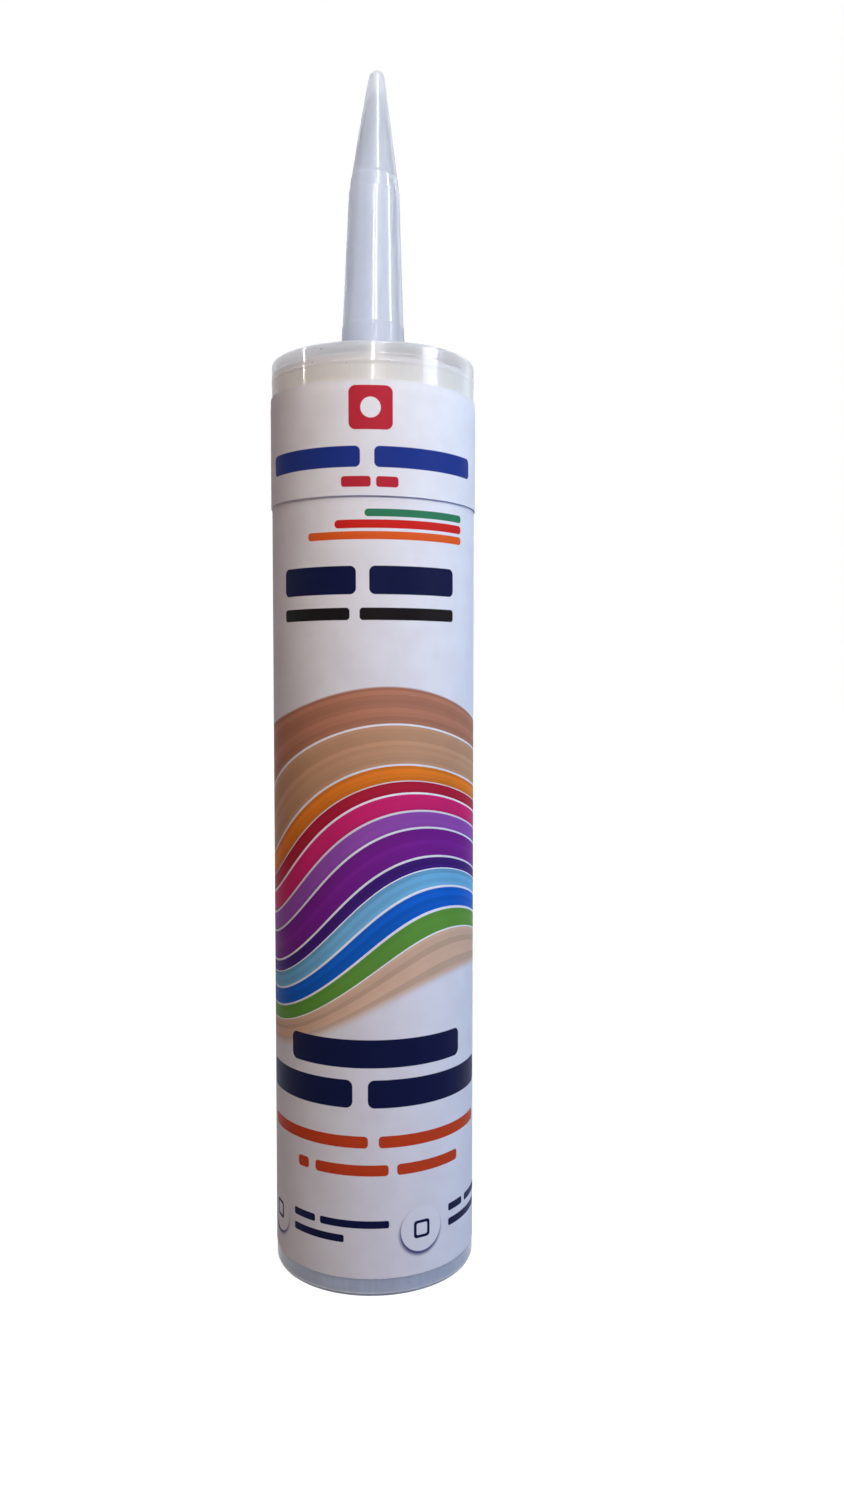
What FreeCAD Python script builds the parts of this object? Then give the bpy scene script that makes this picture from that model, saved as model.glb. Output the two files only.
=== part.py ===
import FreeCAD, Part
import math
import os

# Caulk tube: a plastic cartridge with a closed nozzle, its filling, its plunger and two wrap labels.
# Millimetres. Z runs up the tube's axis, the origin is the centre of the rear rim that the tube stands on,
# and -Y is the front. Radii are measured from the axis and heights from the rear rim.

# Tube
TUBE_OUTER_RADIUS = 24.5
TUBE_WALL = 1.2
SHOULDER_HEIGHT = 219.0
RIM_INNER_CHAMFER = 0.3
RIM_BEVEL_HEIGHT = 0.7
RIM_BEVEL_DEPTH = 0.3

# Collar of the tube under the weld, and the groove of the weld itself
COLLAR_HEIGHT = 1.9
COLLAR_RISE = 0.06
COLLAR_TAPER = 0.25
WELD_CHAMFER = 0.15

# End cap, moulded in one with the nozzle
CAP_RIM_HEIGHT = 3.3
CAP_CORNER_RADIUS = 1.3
CAP_LIP_RISE = 0.1
CAP_LIP_HEIGHT = 0.35
CAP_DISC_THICKNESS = 1.6
CAP_RING_HEIGHT = 4.1
CAP_RING_INNER_RADIUS = 20.4
SPIGOT_LENGTH = 2.1
SPIGOT_WALL = 1.2
SPIGOT_CLEARANCE = 0.05

# Nozzle outside: heights above the shoulder of the rings where its taper changes, and the radii there
NOZZLE_LENGTH = 70.7
NOZZLE_BASE_RADIUS = 7.95
NOZZLE_BASE_FILLET = 0.6
FOOT_HEIGHT = 9.8
FOOT_TOP_RADIUS = 7.52
SHANK_TOP_HEIGHT = 41.8
SHANK_TOP_RADIUS = 6.12
THROAT_TOP_HEIGHT = 45.0
THROAT_TOP_RADIUS = 5.68
CONE_STEP = 0.06
CONE_BULGE = 0.08
TIP_RADIUS = 1.9

# Nozzle inside
NOZZLE_BASE_WALL = 1.5
NOZZLE_THROAT_WALL = 1.2
NOZZLE_BORE_END_HEIGHT = 65.0
NOZZLE_BORE_END_RADIUS = 1.0

# Foil that closes the nozzle's bore until it is pierced
SEAL_THICKNESS = 0.1
SEAL_LAND = 1.6

# Plunger, a cup that is open to the rear with a sealing lip at each end
PLUNGER_REAR_HEIGHT = 23.0
PLUNGER_LENGTH = 18.0
PLUNGER_CLEARANCE = 0.06
PLUNGER_WALL = 1.4
PLUNGER_WEB = 1.6
PLUNGER_WAIST_DEPTH = 0.7
PLUNGER_LIP_HEIGHT = 2.6
PLUNGER_LIP_TAPER = 1.0
PLUNGER_NOSE_RADIUS = 19.2
PLUNGER_NOSE_HEIGHT = 2.0
PLUNGER_RIB_COUNT = 6
PLUNGER_RIB_THICKNESS = 1.1
PLUNGER_RIB_HEIGHT = 6.0
PLUNGER_HUB_RADIUS = 4.0

# Filling, which fills the tube from the plunger to the cap
FILLING_CLEARANCE = 0.05

# Wrap label, glued round the tube with its ends lapped at the back. Its top is so far below the shoulder.
WRAP_THICKNESS = 0.12
WRAP_BOTTOM_HEIGHT = 4.2
WRAP_TOP_DROP = 10.4
WRAP_LAP_WIDTH = 7.0

# Band label, stuck over the top of the wrap label, a little askew. Its top is so far below the shoulder.
BAND_THICKNESS = 0.22
BAND_GLUE = 0.03
BAND_TOP_DROP = 8.75
BAND_WIDTH = 25.65
BAND_LAP_WIDTH = 9.0
BAND_SKEW_DEG = 0.6

# What follows from the sizes above
TUBE_BORE_RADIUS = TUBE_OUTER_RADIUS - TUBE_WALL
TUBE_LENGTH = SHOULDER_HEIGHT - CAP_RIM_HEIGHT
SPIGOT_OUTER_RADIUS = TUBE_BORE_RADIUS - SPIGOT_CLEARANCE
SPIGOT_INNER_RADIUS = SPIGOT_OUTER_RADIUS - SPIGOT_WALL
SPIGOT_BOTTOM_HEIGHT = TUBE_LENGTH - SPIGOT_LENGTH
CAP_UNDERSIDE_HEIGHT = SHOULDER_HEIGHT - CAP_DISC_THICKNESS
CAP_RING_BOTTOM_HEIGHT = SHOULDER_HEIGHT - CAP_RING_HEIGHT
NOZZLE_BORE_RADIUS = NOZZLE_BASE_RADIUS - NOZZLE_BASE_WALL
SEAL_RADIUS = NOZZLE_BORE_RADIUS + SEAL_LAND
PLUNGER_RADIUS = TUBE_BORE_RADIUS - PLUNGER_CLEARANCE
PLUNGER_FRONT_HEIGHT = PLUNGER_REAR_HEIGHT + PLUNGER_LENGTH
PLUNGER_EDGE_HEIGHT = PLUNGER_FRONT_HEIGHT - PLUNGER_NOSE_HEIGHT
WRAP_TOP_HEIGHT = SHOULDER_HEIGHT - WRAP_TOP_DROP
WRAP_OUTER_RADIUS = TUBE_OUTER_RADIUS + WRAP_THICKNESS
BAND_TOP_HEIGHT = SHOULDER_HEIGHT - BAND_TOP_DROP
BAND_BOTTOM_HEIGHT = BAND_TOP_HEIGHT - BAND_WIDTH
BAND_INNER_RADIUS = WRAP_OUTER_RADIUS + BAND_GLUE
BAND_OUTER_RADIUS = BAND_INNER_RADIUS + BAND_THICKNESS

AXIS_POINT = FreeCAD.Vector(0, 0, 0)
UP = FreeCAD.Vector(0, 0, 1)
FULL_TURN = 360.0
QUARTER_TURN = math.pi / 2
BACK_DEG = 90.0


def at(radius, height):
    """Point of a half-section, in the plane that a piece is turned from."""
    return FreeCAD.Vector(radius, 0, height)


def line(start, end):
    """Straight side of a half-section."""
    return Part.LineSegment(start, end).toShape()


def bulged(start, end, bulge):
    """Arc from start up to end that stands out of its chord by bulge, away from the axis."""
    chord = end - start
    outward = FreeCAD.Vector(chord.z, 0, -chord.x)
    outward.normalize()
    middle = (start + end) * 0.5 + outward * bulge
    return Part.Arc(start, middle, end).toShape()


def turned(edges, angle=FULL_TURN):
    """Solid of revolution from the edges of a closed half-section."""
    return Part.Face(Part.Wire(edges)).revolve(AXIS_POINT, UP, angle)


def polygon(points):
    """Straight sides of a closed half-section through the points."""
    return [line(a, b) for a, b in zip(points, points[1:] + points[:1])]


def rounded(shape, radius, height, size):
    """The shape with its round edge of that radius and height rounded off."""
    tolerance = 1e-4
    ends = [
        edge
        for edge in shape.Edges
        if abs(edge.BoundBox.ZMin - height) < tolerance
        and abs(edge.BoundBox.ZMax - height) < tolerance
        and abs(edge.Curve.Radius - radius) < tolerance
    ]
    return shape.makeFillet(size, ends)


def sleeve(inner, outer, bottom, top, start_deg=0.0, angle=FULL_TURN):
    """Round wall, or the part of one from start_deg through angle."""
    corners = [at(inner, bottom), at(outer, bottom), at(outer, top), at(inner, top)]
    wall = turned(polygon(corners), angle)
    wall.rotate(AXIS_POINT, UP, start_deg)
    return wall


def lap_angle(width, radius):
    """Degrees that a lap of that width takes up on a label of that radius."""
    return math.degrees(width / radius)


def make_tube():
    """Tube, open at both ends, bevelled at the rear rim and with a slight collar under the weld."""
    bore = TUBE_BORE_RADIUS
    outer = TUBE_OUTER_RADIUS
    collar = outer + COLLAR_RISE
    collar_bottom = TUBE_LENGTH - COLLAR_HEIGHT
    return turned(
        polygon(
            [
                at(bore + RIM_INNER_CHAMFER, 0),
                at(outer - RIM_BEVEL_DEPTH, 0),
                at(outer, RIM_BEVEL_HEIGHT),
                at(outer, collar_bottom),
                at(collar, collar_bottom + COLLAR_TAPER),
                at(collar, TUBE_LENGTH - WELD_CHAMFER),
                at(collar - WELD_CHAMFER, TUBE_LENGTH),
                at(bore, TUBE_LENGTH),
                at(bore, RIM_INNER_CHAMFER),
            ]
        )
    )


def on_tip(angle):
    """Point of the nozzle's round tip, at that angle above the middle of its ball."""
    middle = SHOULDER_HEIGHT + NOZZLE_LENGTH - TIP_RADIUS
    return at(TIP_RADIUS * math.cos(angle), middle + TIP_RADIUS * math.sin(angle))


def tip_taper(foot):
    """Half-angle of the cone that runs from the foot to touch the ball of the tip."""
    rise = SHOULDER_HEIGHT + NOZZLE_LENGTH - TIP_RADIUS - foot.z
    return math.atan2(foot.x, rise) - math.asin(TIP_RADIUS / math.hypot(foot.x, rise))


def nozzle_outside():
    """Outer side of the nozzle, from its foot on the shoulder to the closed tip."""
    foot = at(NOZZLE_BASE_RADIUS, SHOULDER_HEIGHT)
    foot_top = at(FOOT_TOP_RADIUS, SHOULDER_HEIGHT + FOOT_HEIGHT)
    shank_top = at(SHANK_TOP_RADIUS, SHOULDER_HEIGHT + SHANK_TOP_HEIGHT)
    throat_top = at(THROAT_TOP_RADIUS, SHOULDER_HEIGHT + THROAT_TOP_HEIGHT)
    cone_foot = at(THROAT_TOP_RADIUS - CONE_STEP, SHOULDER_HEIGHT + THROAT_TOP_HEIGHT + CONE_STEP)
    taper = tip_taper(cone_foot)
    return [
        line(foot, foot_top),
        line(foot_top, shank_top),
        line(shank_top, throat_top),
        line(throat_top, cone_foot),
        bulged(cone_foot, on_tip(taper), CONE_BULGE),
        Part.Arc(on_tip(taper), on_tip((taper + QUARTER_TURN) / 2), on_tip(QUARTER_TURN)).toShape(),
    ]


def nozzle_inside():
    """Inner side of the nozzle, from the closed end of its bore down to the cap's underside."""
    tip = on_tip(QUARTER_TURN)
    bore_top = at(0, SHOULDER_HEIGHT + NOZZLE_BORE_END_HEIGHT)
    bore_end = at(NOZZLE_BORE_END_RADIUS, SHOULDER_HEIGHT + NOZZLE_BORE_END_HEIGHT)
    throat = at(THROAT_TOP_RADIUS - NOZZLE_THROAT_WALL, SHOULDER_HEIGHT + THROAT_TOP_HEIGHT)
    bore_foot = at(NOZZLE_BORE_RADIUS, CAP_UNDERSIDE_HEIGHT)
    return [line(tip, bore_top), line(bore_top, bore_end), line(bore_end, throat), line(throat, bore_foot)]


def make_cap():
    """End cap with its spigot, rim and nozzle, one moulding with the bore closed at the tip."""
    outer = TUBE_OUTER_RADIUS
    lip = outer + CAP_LIP_RISE
    lip_top = TUBE_LENGTH + WELD_CHAMFER + CAP_LIP_HEIGHT
    below = [
        at(NOZZLE_BORE_RADIUS, CAP_UNDERSIDE_HEIGHT),
        at(CAP_RING_INNER_RADIUS, CAP_UNDERSIDE_HEIGHT),
        at(CAP_RING_INNER_RADIUS, CAP_RING_BOTTOM_HEIGHT),
        at(SPIGOT_INNER_RADIUS, CAP_RING_BOTTOM_HEIGHT),
        at(SPIGOT_INNER_RADIUS, SPIGOT_BOTTOM_HEIGHT),
        at(SPIGOT_OUTER_RADIUS, SPIGOT_BOTTOM_HEIGHT),
        at(SPIGOT_OUTER_RADIUS, TUBE_LENGTH),
        at(lip - WELD_CHAMFER, TUBE_LENGTH),
        at(lip, TUBE_LENGTH + WELD_CHAMFER),
        at(outer, lip_top),
        at(outer, SHOULDER_HEIGHT),
        at(NOZZLE_BASE_RADIUS, SHOULDER_HEIGHT),
    ]
    sides = [line(a, b) for a, b in zip(below, below[1:])]
    cap = turned(sides + nozzle_outside() + nozzle_inside())
    cap = rounded(cap, outer, SHOULDER_HEIGHT, CAP_CORNER_RADIUS)
    return rounded(cap, NOZZLE_BASE_RADIUS, SHOULDER_HEIGHT, NOZZLE_BASE_FILLET)


def make_seal():
    """Foil disc across the nozzle's bore, stuck to the cap's underside."""
    return sleeve(0, SEAL_RADIUS, CAP_UNDERSIDE_HEIGHT - SEAL_THICKNESS, CAP_UNDERSIDE_HEIGHT)


def make_filling():
    """Filling, which follows the plunger's nose below and the cap and its seal above."""
    gap = FILLING_CLEARANCE
    side = TUBE_BORE_RADIUS - gap
    neck = SPIGOT_INNER_RADIUS - gap
    crown = CAP_RING_INNER_RADIUS - gap
    top = CAP_UNDERSIDE_HEIGHT - gap
    return turned(
        polygon(
            [
                at(0, PLUNGER_FRONT_HEIGHT + gap),
                at(PLUNGER_NOSE_RADIUS, PLUNGER_FRONT_HEIGHT + gap),
                at(side, PLUNGER_EDGE_HEIGHT + gap),
                at(side, SPIGOT_BOTTOM_HEIGHT - gap),
                at(neck, SPIGOT_BOTTOM_HEIGHT - gap),
                at(neck, CAP_RING_BOTTOM_HEIGHT - gap),
                at(crown, CAP_RING_BOTTOM_HEIGHT - gap),
                at(crown, top),
                at(SEAL_RADIUS + gap, top),
                at(SEAL_RADIUS + gap, top - SEAL_THICKNESS),
                at(0, top - SEAL_THICKNESS),
            ]
        )
    )


def plunger_ribs(inner, web_height):
    """Hub and ribs under the plunger's web, which take the push of the gun's disc."""
    bottom = web_height - PLUNGER_RIB_HEIGHT
    ribs = sleeve(0, PLUNGER_HUB_RADIUS, bottom, web_height)
    for turn in range(PLUNGER_RIB_COUNT):
        rib = Part.makeBox(
            inner,
            PLUNGER_RIB_THICKNESS,
            PLUNGER_RIB_HEIGHT,
            FreeCAD.Vector(0, -PLUNGER_RIB_THICKNESS / 2, bottom),
        )
        rib.rotate(AXIS_POINT, UP, FULL_TURN * turn / PLUNGER_RIB_COUNT)
        ribs = ribs.fuse(rib)
    return ribs


def make_plunger():
    """Plunger: a cup with two sealing lips and a waist, stiffened by ribs under its web."""
    lip = PLUNGER_RADIUS
    waist = lip - PLUNGER_WAIST_DEPTH
    inner = waist - PLUNGER_WALL
    rear = PLUNGER_REAR_HEIGHT
    edge = PLUNGER_EDGE_HEIGHT
    web = PLUNGER_FRONT_HEIGHT - PLUNGER_WEB
    cup = turned(
        polygon(
            [
                at(inner, rear),
                at(lip, rear),
                at(lip, rear + PLUNGER_LIP_HEIGHT),
                at(waist, rear + PLUNGER_LIP_HEIGHT + PLUNGER_LIP_TAPER),
                at(waist, edge - PLUNGER_LIP_HEIGHT - PLUNGER_LIP_TAPER),
                at(lip, edge - PLUNGER_LIP_HEIGHT),
                at(lip, edge),
                at(PLUNGER_NOSE_RADIUS, PLUNGER_FRONT_HEIGHT),
                at(0, PLUNGER_FRONT_HEIGHT),
                at(0, web),
                at(PLUNGER_NOSE_RADIUS - PLUNGER_WALL, web),
                at(inner, edge - PLUNGER_WEB),
            ]
        )
    )
    return cup.fuse(plunger_ribs(inner + PLUNGER_WALL / 2, web)).removeSplitter()


def make_wrap_label():
    """Wrap label: one layer all round the tube and a second layer where its ends lap at the back."""
    outer = WRAP_OUTER_RADIUS
    layer = sleeve(TUBE_OUTER_RADIUS, outer, WRAP_BOTTOM_HEIGHT, WRAP_TOP_HEIGHT)
    return layer.fuse(wrap_lap(outer + WRAP_THICKNESS)).removeSplitter()


def wrap_lap(lap_outer):
    """Second layer of the wrap label where its ends lap, out to the radius given."""
    angle = lap_angle(WRAP_LAP_WIDTH, WRAP_OUTER_RADIUS)
    start = BACK_DEG - angle / 2
    return sleeve(WRAP_OUTER_RADIUS, lap_outer, WRAP_BOTTOM_HEIGHT, WRAP_TOP_HEIGHT, start, angle)


def skewed_slab():
    """Space between the two edges of the band label, which slope down to the right."""
    across = 3 * BAND_OUTER_RADIUS
    corner = FreeCAD.Vector(-across / 2, -across / 2, BAND_BOTTOM_HEIGHT)
    slab = Part.makeBox(across, across, BAND_WIDTH, corner)
    middle = FreeCAD.Vector(0, 0, BAND_BOTTOM_HEIGHT + BAND_WIDTH / 2)
    slab.rotate(middle, FreeCAD.Vector(0, 1, 0), BAND_SKEW_DEG)
    return slab


def make_band_label():
    """Band label: a layer over the wrap label and the bare tube above it, lapped at the back."""
    spare = BAND_OUTER_RADIUS * math.sin(math.radians(BAND_SKEW_DEG)) + 1.0
    bottom = BAND_BOTTOM_HEIGHT - spare
    top = BAND_TOP_HEIGHT + spare
    outer = BAND_OUTER_RADIUS
    angle = lap_angle(BAND_LAP_WIDTH, outer)
    start = BACK_DEG + lap_angle(WRAP_LAP_WIDTH, outer)
    layer = sleeve(BAND_INNER_RADIUS, outer, bottom, top)
    lap = sleeve(outer, outer + BAND_THICKNESS, bottom, top, start, angle)
    band = layer.fuse(lap).common(skewed_slab())
    relief = wrap_lap(WRAP_OUTER_RADIUS + WRAP_THICKNESS + BAND_GLUE)
    return band.cut(relief).removeSplitter()


PIECES = {
    "barrel": make_tube,
    "nozzle_cap": make_cap,
    "inner_seal": make_seal,
    "filling": make_filling,
    "plunger": make_plunger,
    "wrap_label": make_wrap_label,
    "band_label": make_band_label,
}

os.makedirs("parts", exist_ok=True)
for name, make in PIECES.items():
    solids = make().Solids
    if len(solids) != 1 or not solids[0].isValid():
        raise ValueError(f"{name} is not one valid solid")
    solids[0].exportStep(f"parts/{name}.step")
    box = solids[0].BoundBox
    print(
        f"{name}: {solids[0].Volume:.1f} mm3, z {box.ZMin:.2f} to {box.ZMax:.2f}, "
        f"x {box.XMin:.2f} to {box.XMax:.2f}"
    )
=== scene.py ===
import logging
import math
from dataclasses import dataclass, replace
from enum import Enum
from functools import cached_property, reduce

import bmesh
import bpy
from mathutils import Euler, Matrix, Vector


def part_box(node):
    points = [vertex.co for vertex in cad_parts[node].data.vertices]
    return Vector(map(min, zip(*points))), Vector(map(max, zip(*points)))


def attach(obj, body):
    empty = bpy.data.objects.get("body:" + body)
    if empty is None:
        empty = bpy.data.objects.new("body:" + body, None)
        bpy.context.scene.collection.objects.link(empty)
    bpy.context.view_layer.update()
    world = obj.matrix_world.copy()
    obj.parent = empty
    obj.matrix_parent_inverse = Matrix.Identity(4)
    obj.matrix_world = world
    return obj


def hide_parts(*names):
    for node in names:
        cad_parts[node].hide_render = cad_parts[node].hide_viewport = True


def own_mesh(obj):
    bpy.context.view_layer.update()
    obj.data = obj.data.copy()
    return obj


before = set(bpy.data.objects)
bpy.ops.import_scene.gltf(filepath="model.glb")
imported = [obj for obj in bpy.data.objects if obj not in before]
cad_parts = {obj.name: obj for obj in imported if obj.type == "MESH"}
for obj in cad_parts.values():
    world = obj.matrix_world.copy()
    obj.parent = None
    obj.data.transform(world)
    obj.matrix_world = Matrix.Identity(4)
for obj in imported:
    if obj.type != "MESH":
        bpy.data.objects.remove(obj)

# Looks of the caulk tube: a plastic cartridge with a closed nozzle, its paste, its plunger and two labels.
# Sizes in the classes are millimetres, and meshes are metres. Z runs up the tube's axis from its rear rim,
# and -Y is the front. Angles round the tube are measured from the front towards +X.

log = logging.getLogger("caulk_tube")

MM = 0.001
TURN = 2 * math.pi
SHARP_ANGLE = math.radians(50)

Triple = tuple[float, float, float]
Span = tuple[float, float]
Colour = Triple
Profile = list[tuple[float, float]]

WHITE: Colour = (1.0, 1.0, 1.0)
BLACK: Colour = (0.0, 0.0, 0.0)


def srgb(red: int, green: int, blue: int) -> Colour:
    """Linear colour from the 0 to 255 values of a colour picker.

    Args:
        red: its red.
        green: its green.
        blue: its blue.

    Returns:
        The colour.
    """

    def linear(value: int) -> float:
        """One channel, out of the display's curve."""
        share = value / 255
        return share / 12.92 if share <= 0.04045 else ((share + 0.055) / 1.055) ** 2.4

    return linear(red), linear(green), linear(blue)


# Node trees


class Nodes:
    """A shader or geometry tree that is being built."""

    def __init__(self, tree: bpy.types.NodeTree) -> None:
        """Takes the tree that the nodes go in."""
        self.tree = tree

    def add(self, kind: str, inputs: dict | None = None, **settings: object) -> bpy.types.Node:
        """Adds a node.

        Args:
            kind: the node's type name.
            inputs: what goes into its sockets, by name or place: a Signal, a socket or a plain value.
            **settings: properties of the node, which are set first.

        Returns:
            The node.
        """
        node = self.tree.nodes.new(kind)
        for name, value in settings.items():
            setattr(node, name, value)
        for key, value in (inputs or {}).items():
            self.feed(self.socket(node, key), value)
        return node

    @staticmethod
    def socket(node: bpy.types.Node, key: str | int) -> bpy.types.NodeSocket:
        """One input of a node.

        Args:
            node: the node.
            key: the input's place, or its name, which finds the one of that name that is in use.

        Returns:
            The input.
        """
        if isinstance(key, int):
            return node.inputs[key]
        return next(s for s in node.inputs if s.name == key and s.enabled)

    def feed(self, socket: bpy.types.NodeSocket, value: object) -> None:
        """Links something to an input, or sets its plain value.

        Args:
            socket: the input.
            value: a Signal, a socket or a plain value.
        """
        if isinstance(value, Signal):
            value = value.socket
        if isinstance(value, bpy.types.NodeSocket):
            self.tree.links.new(value, socket)
        elif isinstance(value, tuple) and socket.type == "RGBA":
            socket.default_value = (*value[:3], 1.0)
        else:
            socket.default_value = value

    def signal(self, node: bpy.types.Node, place: int = 0) -> "Signal":
        """The node's output at that place, as a number to work with."""
        return Signal(self, node.outputs[place])

    def math(self, operation: str, *values: object, clamp: bool = False) -> "Signal":
        """Adds a Math node on the values and gives its result."""
        inputs = dict(enumerate(values))
        return self.signal(self.add("ShaderNodeMath", inputs, operation=operation, use_clamp=clamp))

    def vector_math(self, operation: str, *values: object) -> bpy.types.Node:
        """Adds a Vector Math node on the values and gives the node."""
        return self.add("ShaderNodeVectorMath", dict(enumerate(values)), operation=operation)

    def scaled(self, vector: object, factor: object) -> bpy.types.NodeSocket:
        """The vector or colour times a number."""
        return self.add("ShaderNodeVectorMath", {0: vector, "Scale": factor}, operation="SCALE").outputs[0]

    def blend(self, share: object, first: object, second: object) -> bpy.types.NodeSocket:
        """Colour that goes from the first to the second as share goes from 0 to 1."""
        inputs = {0: share, 6: first, 7: second}
        return self.add("ShaderNodeMix", inputs, data_type="RGBA").outputs[2]

    def split(self, vector: bpy.types.NodeSocket) -> tuple["Signal", "Signal", "Signal"]:
        """The three parts of a vector."""
        node = self.add("ShaderNodeSeparateXYZ", {0: vector})
        return self.signal(node, 0), self.signal(node, 1), self.signal(node, 2)

    def joined(self, x: object, y: object, z: object) -> bpy.types.NodeSocket:
        """A vector of three numbers."""
        return self.add("ShaderNodeCombineXYZ", {0: x, 1: y, 2: z}).outputs[0]

    def noise(self, vector: object, scale: float, detail: float = 2.0, roughness: float = 0.5) -> "Signal":
        """Noise about 0.5 at the vector.

        Args:
            vector: where it is read.
            scale: how many lumps it has to each unit of the vector.
            detail: octaves of finer lumps.
            roughness: weight of the finer lumps.

        Returns:
            The noise.
        """
        inputs = {"Vector": vector, "Scale": scale, "Detail": detail, "Roughness": roughness}
        return self.signal(self.add("ShaderNodeTexNoise", inputs))


class Signal:
    """A number on its way through a node tree. Arithmetic on it adds Math nodes."""

    def __init__(self, nodes: Nodes, socket: bpy.types.NodeSocket) -> None:
        """Takes the tree and the output that carries the number."""
        self.nodes = nodes
        self.socket = socket

    def __add__(self, other: object) -> "Signal":
        """Sum."""
        return self.nodes.math("ADD", self, other)

    __radd__ = __add__

    def __sub__(self, other: object) -> "Signal":
        """Difference."""
        return self.nodes.math("SUBTRACT", self, other)

    def __rsub__(self, other: object) -> "Signal":
        """Difference from a plain number."""
        return self.nodes.math("SUBTRACT", other, self)

    def __mul__(self, other: object) -> "Signal":
        """Product."""
        return self.nodes.math("MULTIPLY", self, other)

    __rmul__ = __mul__

    def __truediv__(self, other: object) -> "Signal":
        """Quotient."""
        return self.nodes.math("DIVIDE", self, other)

    def __gt__(self, other: object) -> "Signal":
        """1 where it is more than the other, else 0."""
        return self.nodes.math("GREATER_THAN", self, other)

    def __lt__(self, other: object) -> "Signal":
        """1 where it is less than the other, else 0."""
        return self.nodes.math("LESS_THAN", self, other)

    def sin(self) -> "Signal":
        """Sine of it, in radians."""
        return self.nodes.math("SINE", self)

    def cos(self) -> "Signal":
        """Cosine of it, in radians."""
        return self.nodes.math("COSINE", self)

    def whole(self) -> "Signal":
        """The whole number below it."""
        return self.nodes.math("FLOOR", self)

    def size(self) -> "Signal":
        """It without its sign."""
        return self.nodes.math("ABSOLUTE", self)

    def at_least(self, other: object) -> "Signal":
        """The larger of the two."""
        return self.nodes.math("MAXIMUM", self, other)

    def clipped(self) -> "Signal":
        """It, kept from 0 to 1."""
        return self.nodes.math("ADD", self, 0.0, clamp=True)

    def between(self, low: object, high: object) -> "Signal":
        """1 between the two, else 0."""
        return (self > low) * (self < high)

    def spread(self, low: float, high: float) -> "Signal":
        """It, with 0 moved to low and 1 to high."""
        return self * (high - low) + low

    def step(self, low: object, high: object) -> "Signal":
        """Smooth step on it.

        Args:
            low: where it gives 0.
            high: where it gives 1.

        Returns:
            The step.
        """
        inputs = {"Value": self, "From Min": low, "From Max": high}
        node = self.nodes.add("ShaderNodeMapRange", inputs, interpolation_type="SMOOTHSTEP")
        return self.nodes.signal(node)

    def bell(self, middle: object, reach: object) -> "Signal":
        """1 at the middle, falling smoothly to 0 at reach on each side."""
        return 1.0 - (self - middle).size().step(0.0, reach)


class GeometryTree(Nodes):
    """A Geometry Nodes tree with named inputs for its sizes."""

    def __init__(self, name: str) -> None:
        """Makes an empty tree that takes a mesh and gives a mesh.

        Args:
            name: the tree's name.
        """
        super().__init__(bpy.data.node_groups.new(name, "GeometryNodeTree"))
        for direction in ("INPUT", "OUTPUT"):
            self.tree.interface.new_socket("Geometry", in_out=direction, socket_type="NodeSocketGeometry")
        self.given = self.add("NodeGroupInput")
        self.result = self.add("NodeGroupOutput")

    def input(self, name: str, value: object) -> Signal:
        """Adds a named input to the tree.

        Args:
            name: its name.
            value: its default, whose type is the input's.

        Returns:
            The input inside the tree.
        """
        kind = {int: "NodeSocketInt", float: "NodeSocketFloat"}[type(value)]
        socket = self.tree.interface.new_socket(name, in_out="INPUT", socket_type=kind)
        socket.default_value = value
        return Signal(self, self.given.outputs[name])

    @property
    def mesh(self) -> bpy.types.NodeSocket:
        """The mesh that the tree is given."""
        return self.given.outputs["Geometry"]

    def position(self) -> bpy.types.NodeSocket:
        """Where each point is."""
        return self.add("GeometryNodeInputPosition").outputs[0]

    def grid(self, columns: Signal, rows: Signal) -> tuple[bpy.types.NodeSocket, Signal, Signal]:
        """A flat grid to be shaped.

        Args:
            columns: squares along it.
            rows: squares across it.

        Returns:
            The grid, and each point's column and row, counted from the middle.
        """
        sizes = {"Size X": columns, "Size Y": rows, "Vertices X": columns + 1.0, "Vertices Y": rows + 1.0}
        grid = self.add("GeometryNodeMeshGrid", sizes)
        column, row, _ = self.split(self.position())
        return grid.outputs["Mesh"], column, row

    def moved(self, mesh: bpy.types.NodeSocket, position: bpy.types.NodeSocket) -> bpy.types.NodeSocket:
        """The mesh with its points at the position."""
        return self.add("GeometryNodeSetPosition", {"Geometry": mesh, "Position": position}).outputs[0]

    def finish(self, mesh: bpy.types.NodeSocket) -> None:
        """Ends the tree: realizes instances, shades smooth and sets the material.

        Args:
            mesh: what the tree has made.
        """
        self.tree.interface.new_socket("Material", in_out="INPUT", socket_type="NodeSocketMaterial")
        realized = self.add("GeometryNodeRealizeInstances", {"Geometry": mesh}).outputs[0]
        smooth = self.add("GeometryNodeSetShadeSmooth", {"Geometry": realized}).outputs[0]
        inputs = {"Geometry": smooth, "Material": self.given.outputs["Material"]}
        self.feed(self.result.inputs[0], self.add("GeometryNodeSetMaterial", inputs).outputs[0])


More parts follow.
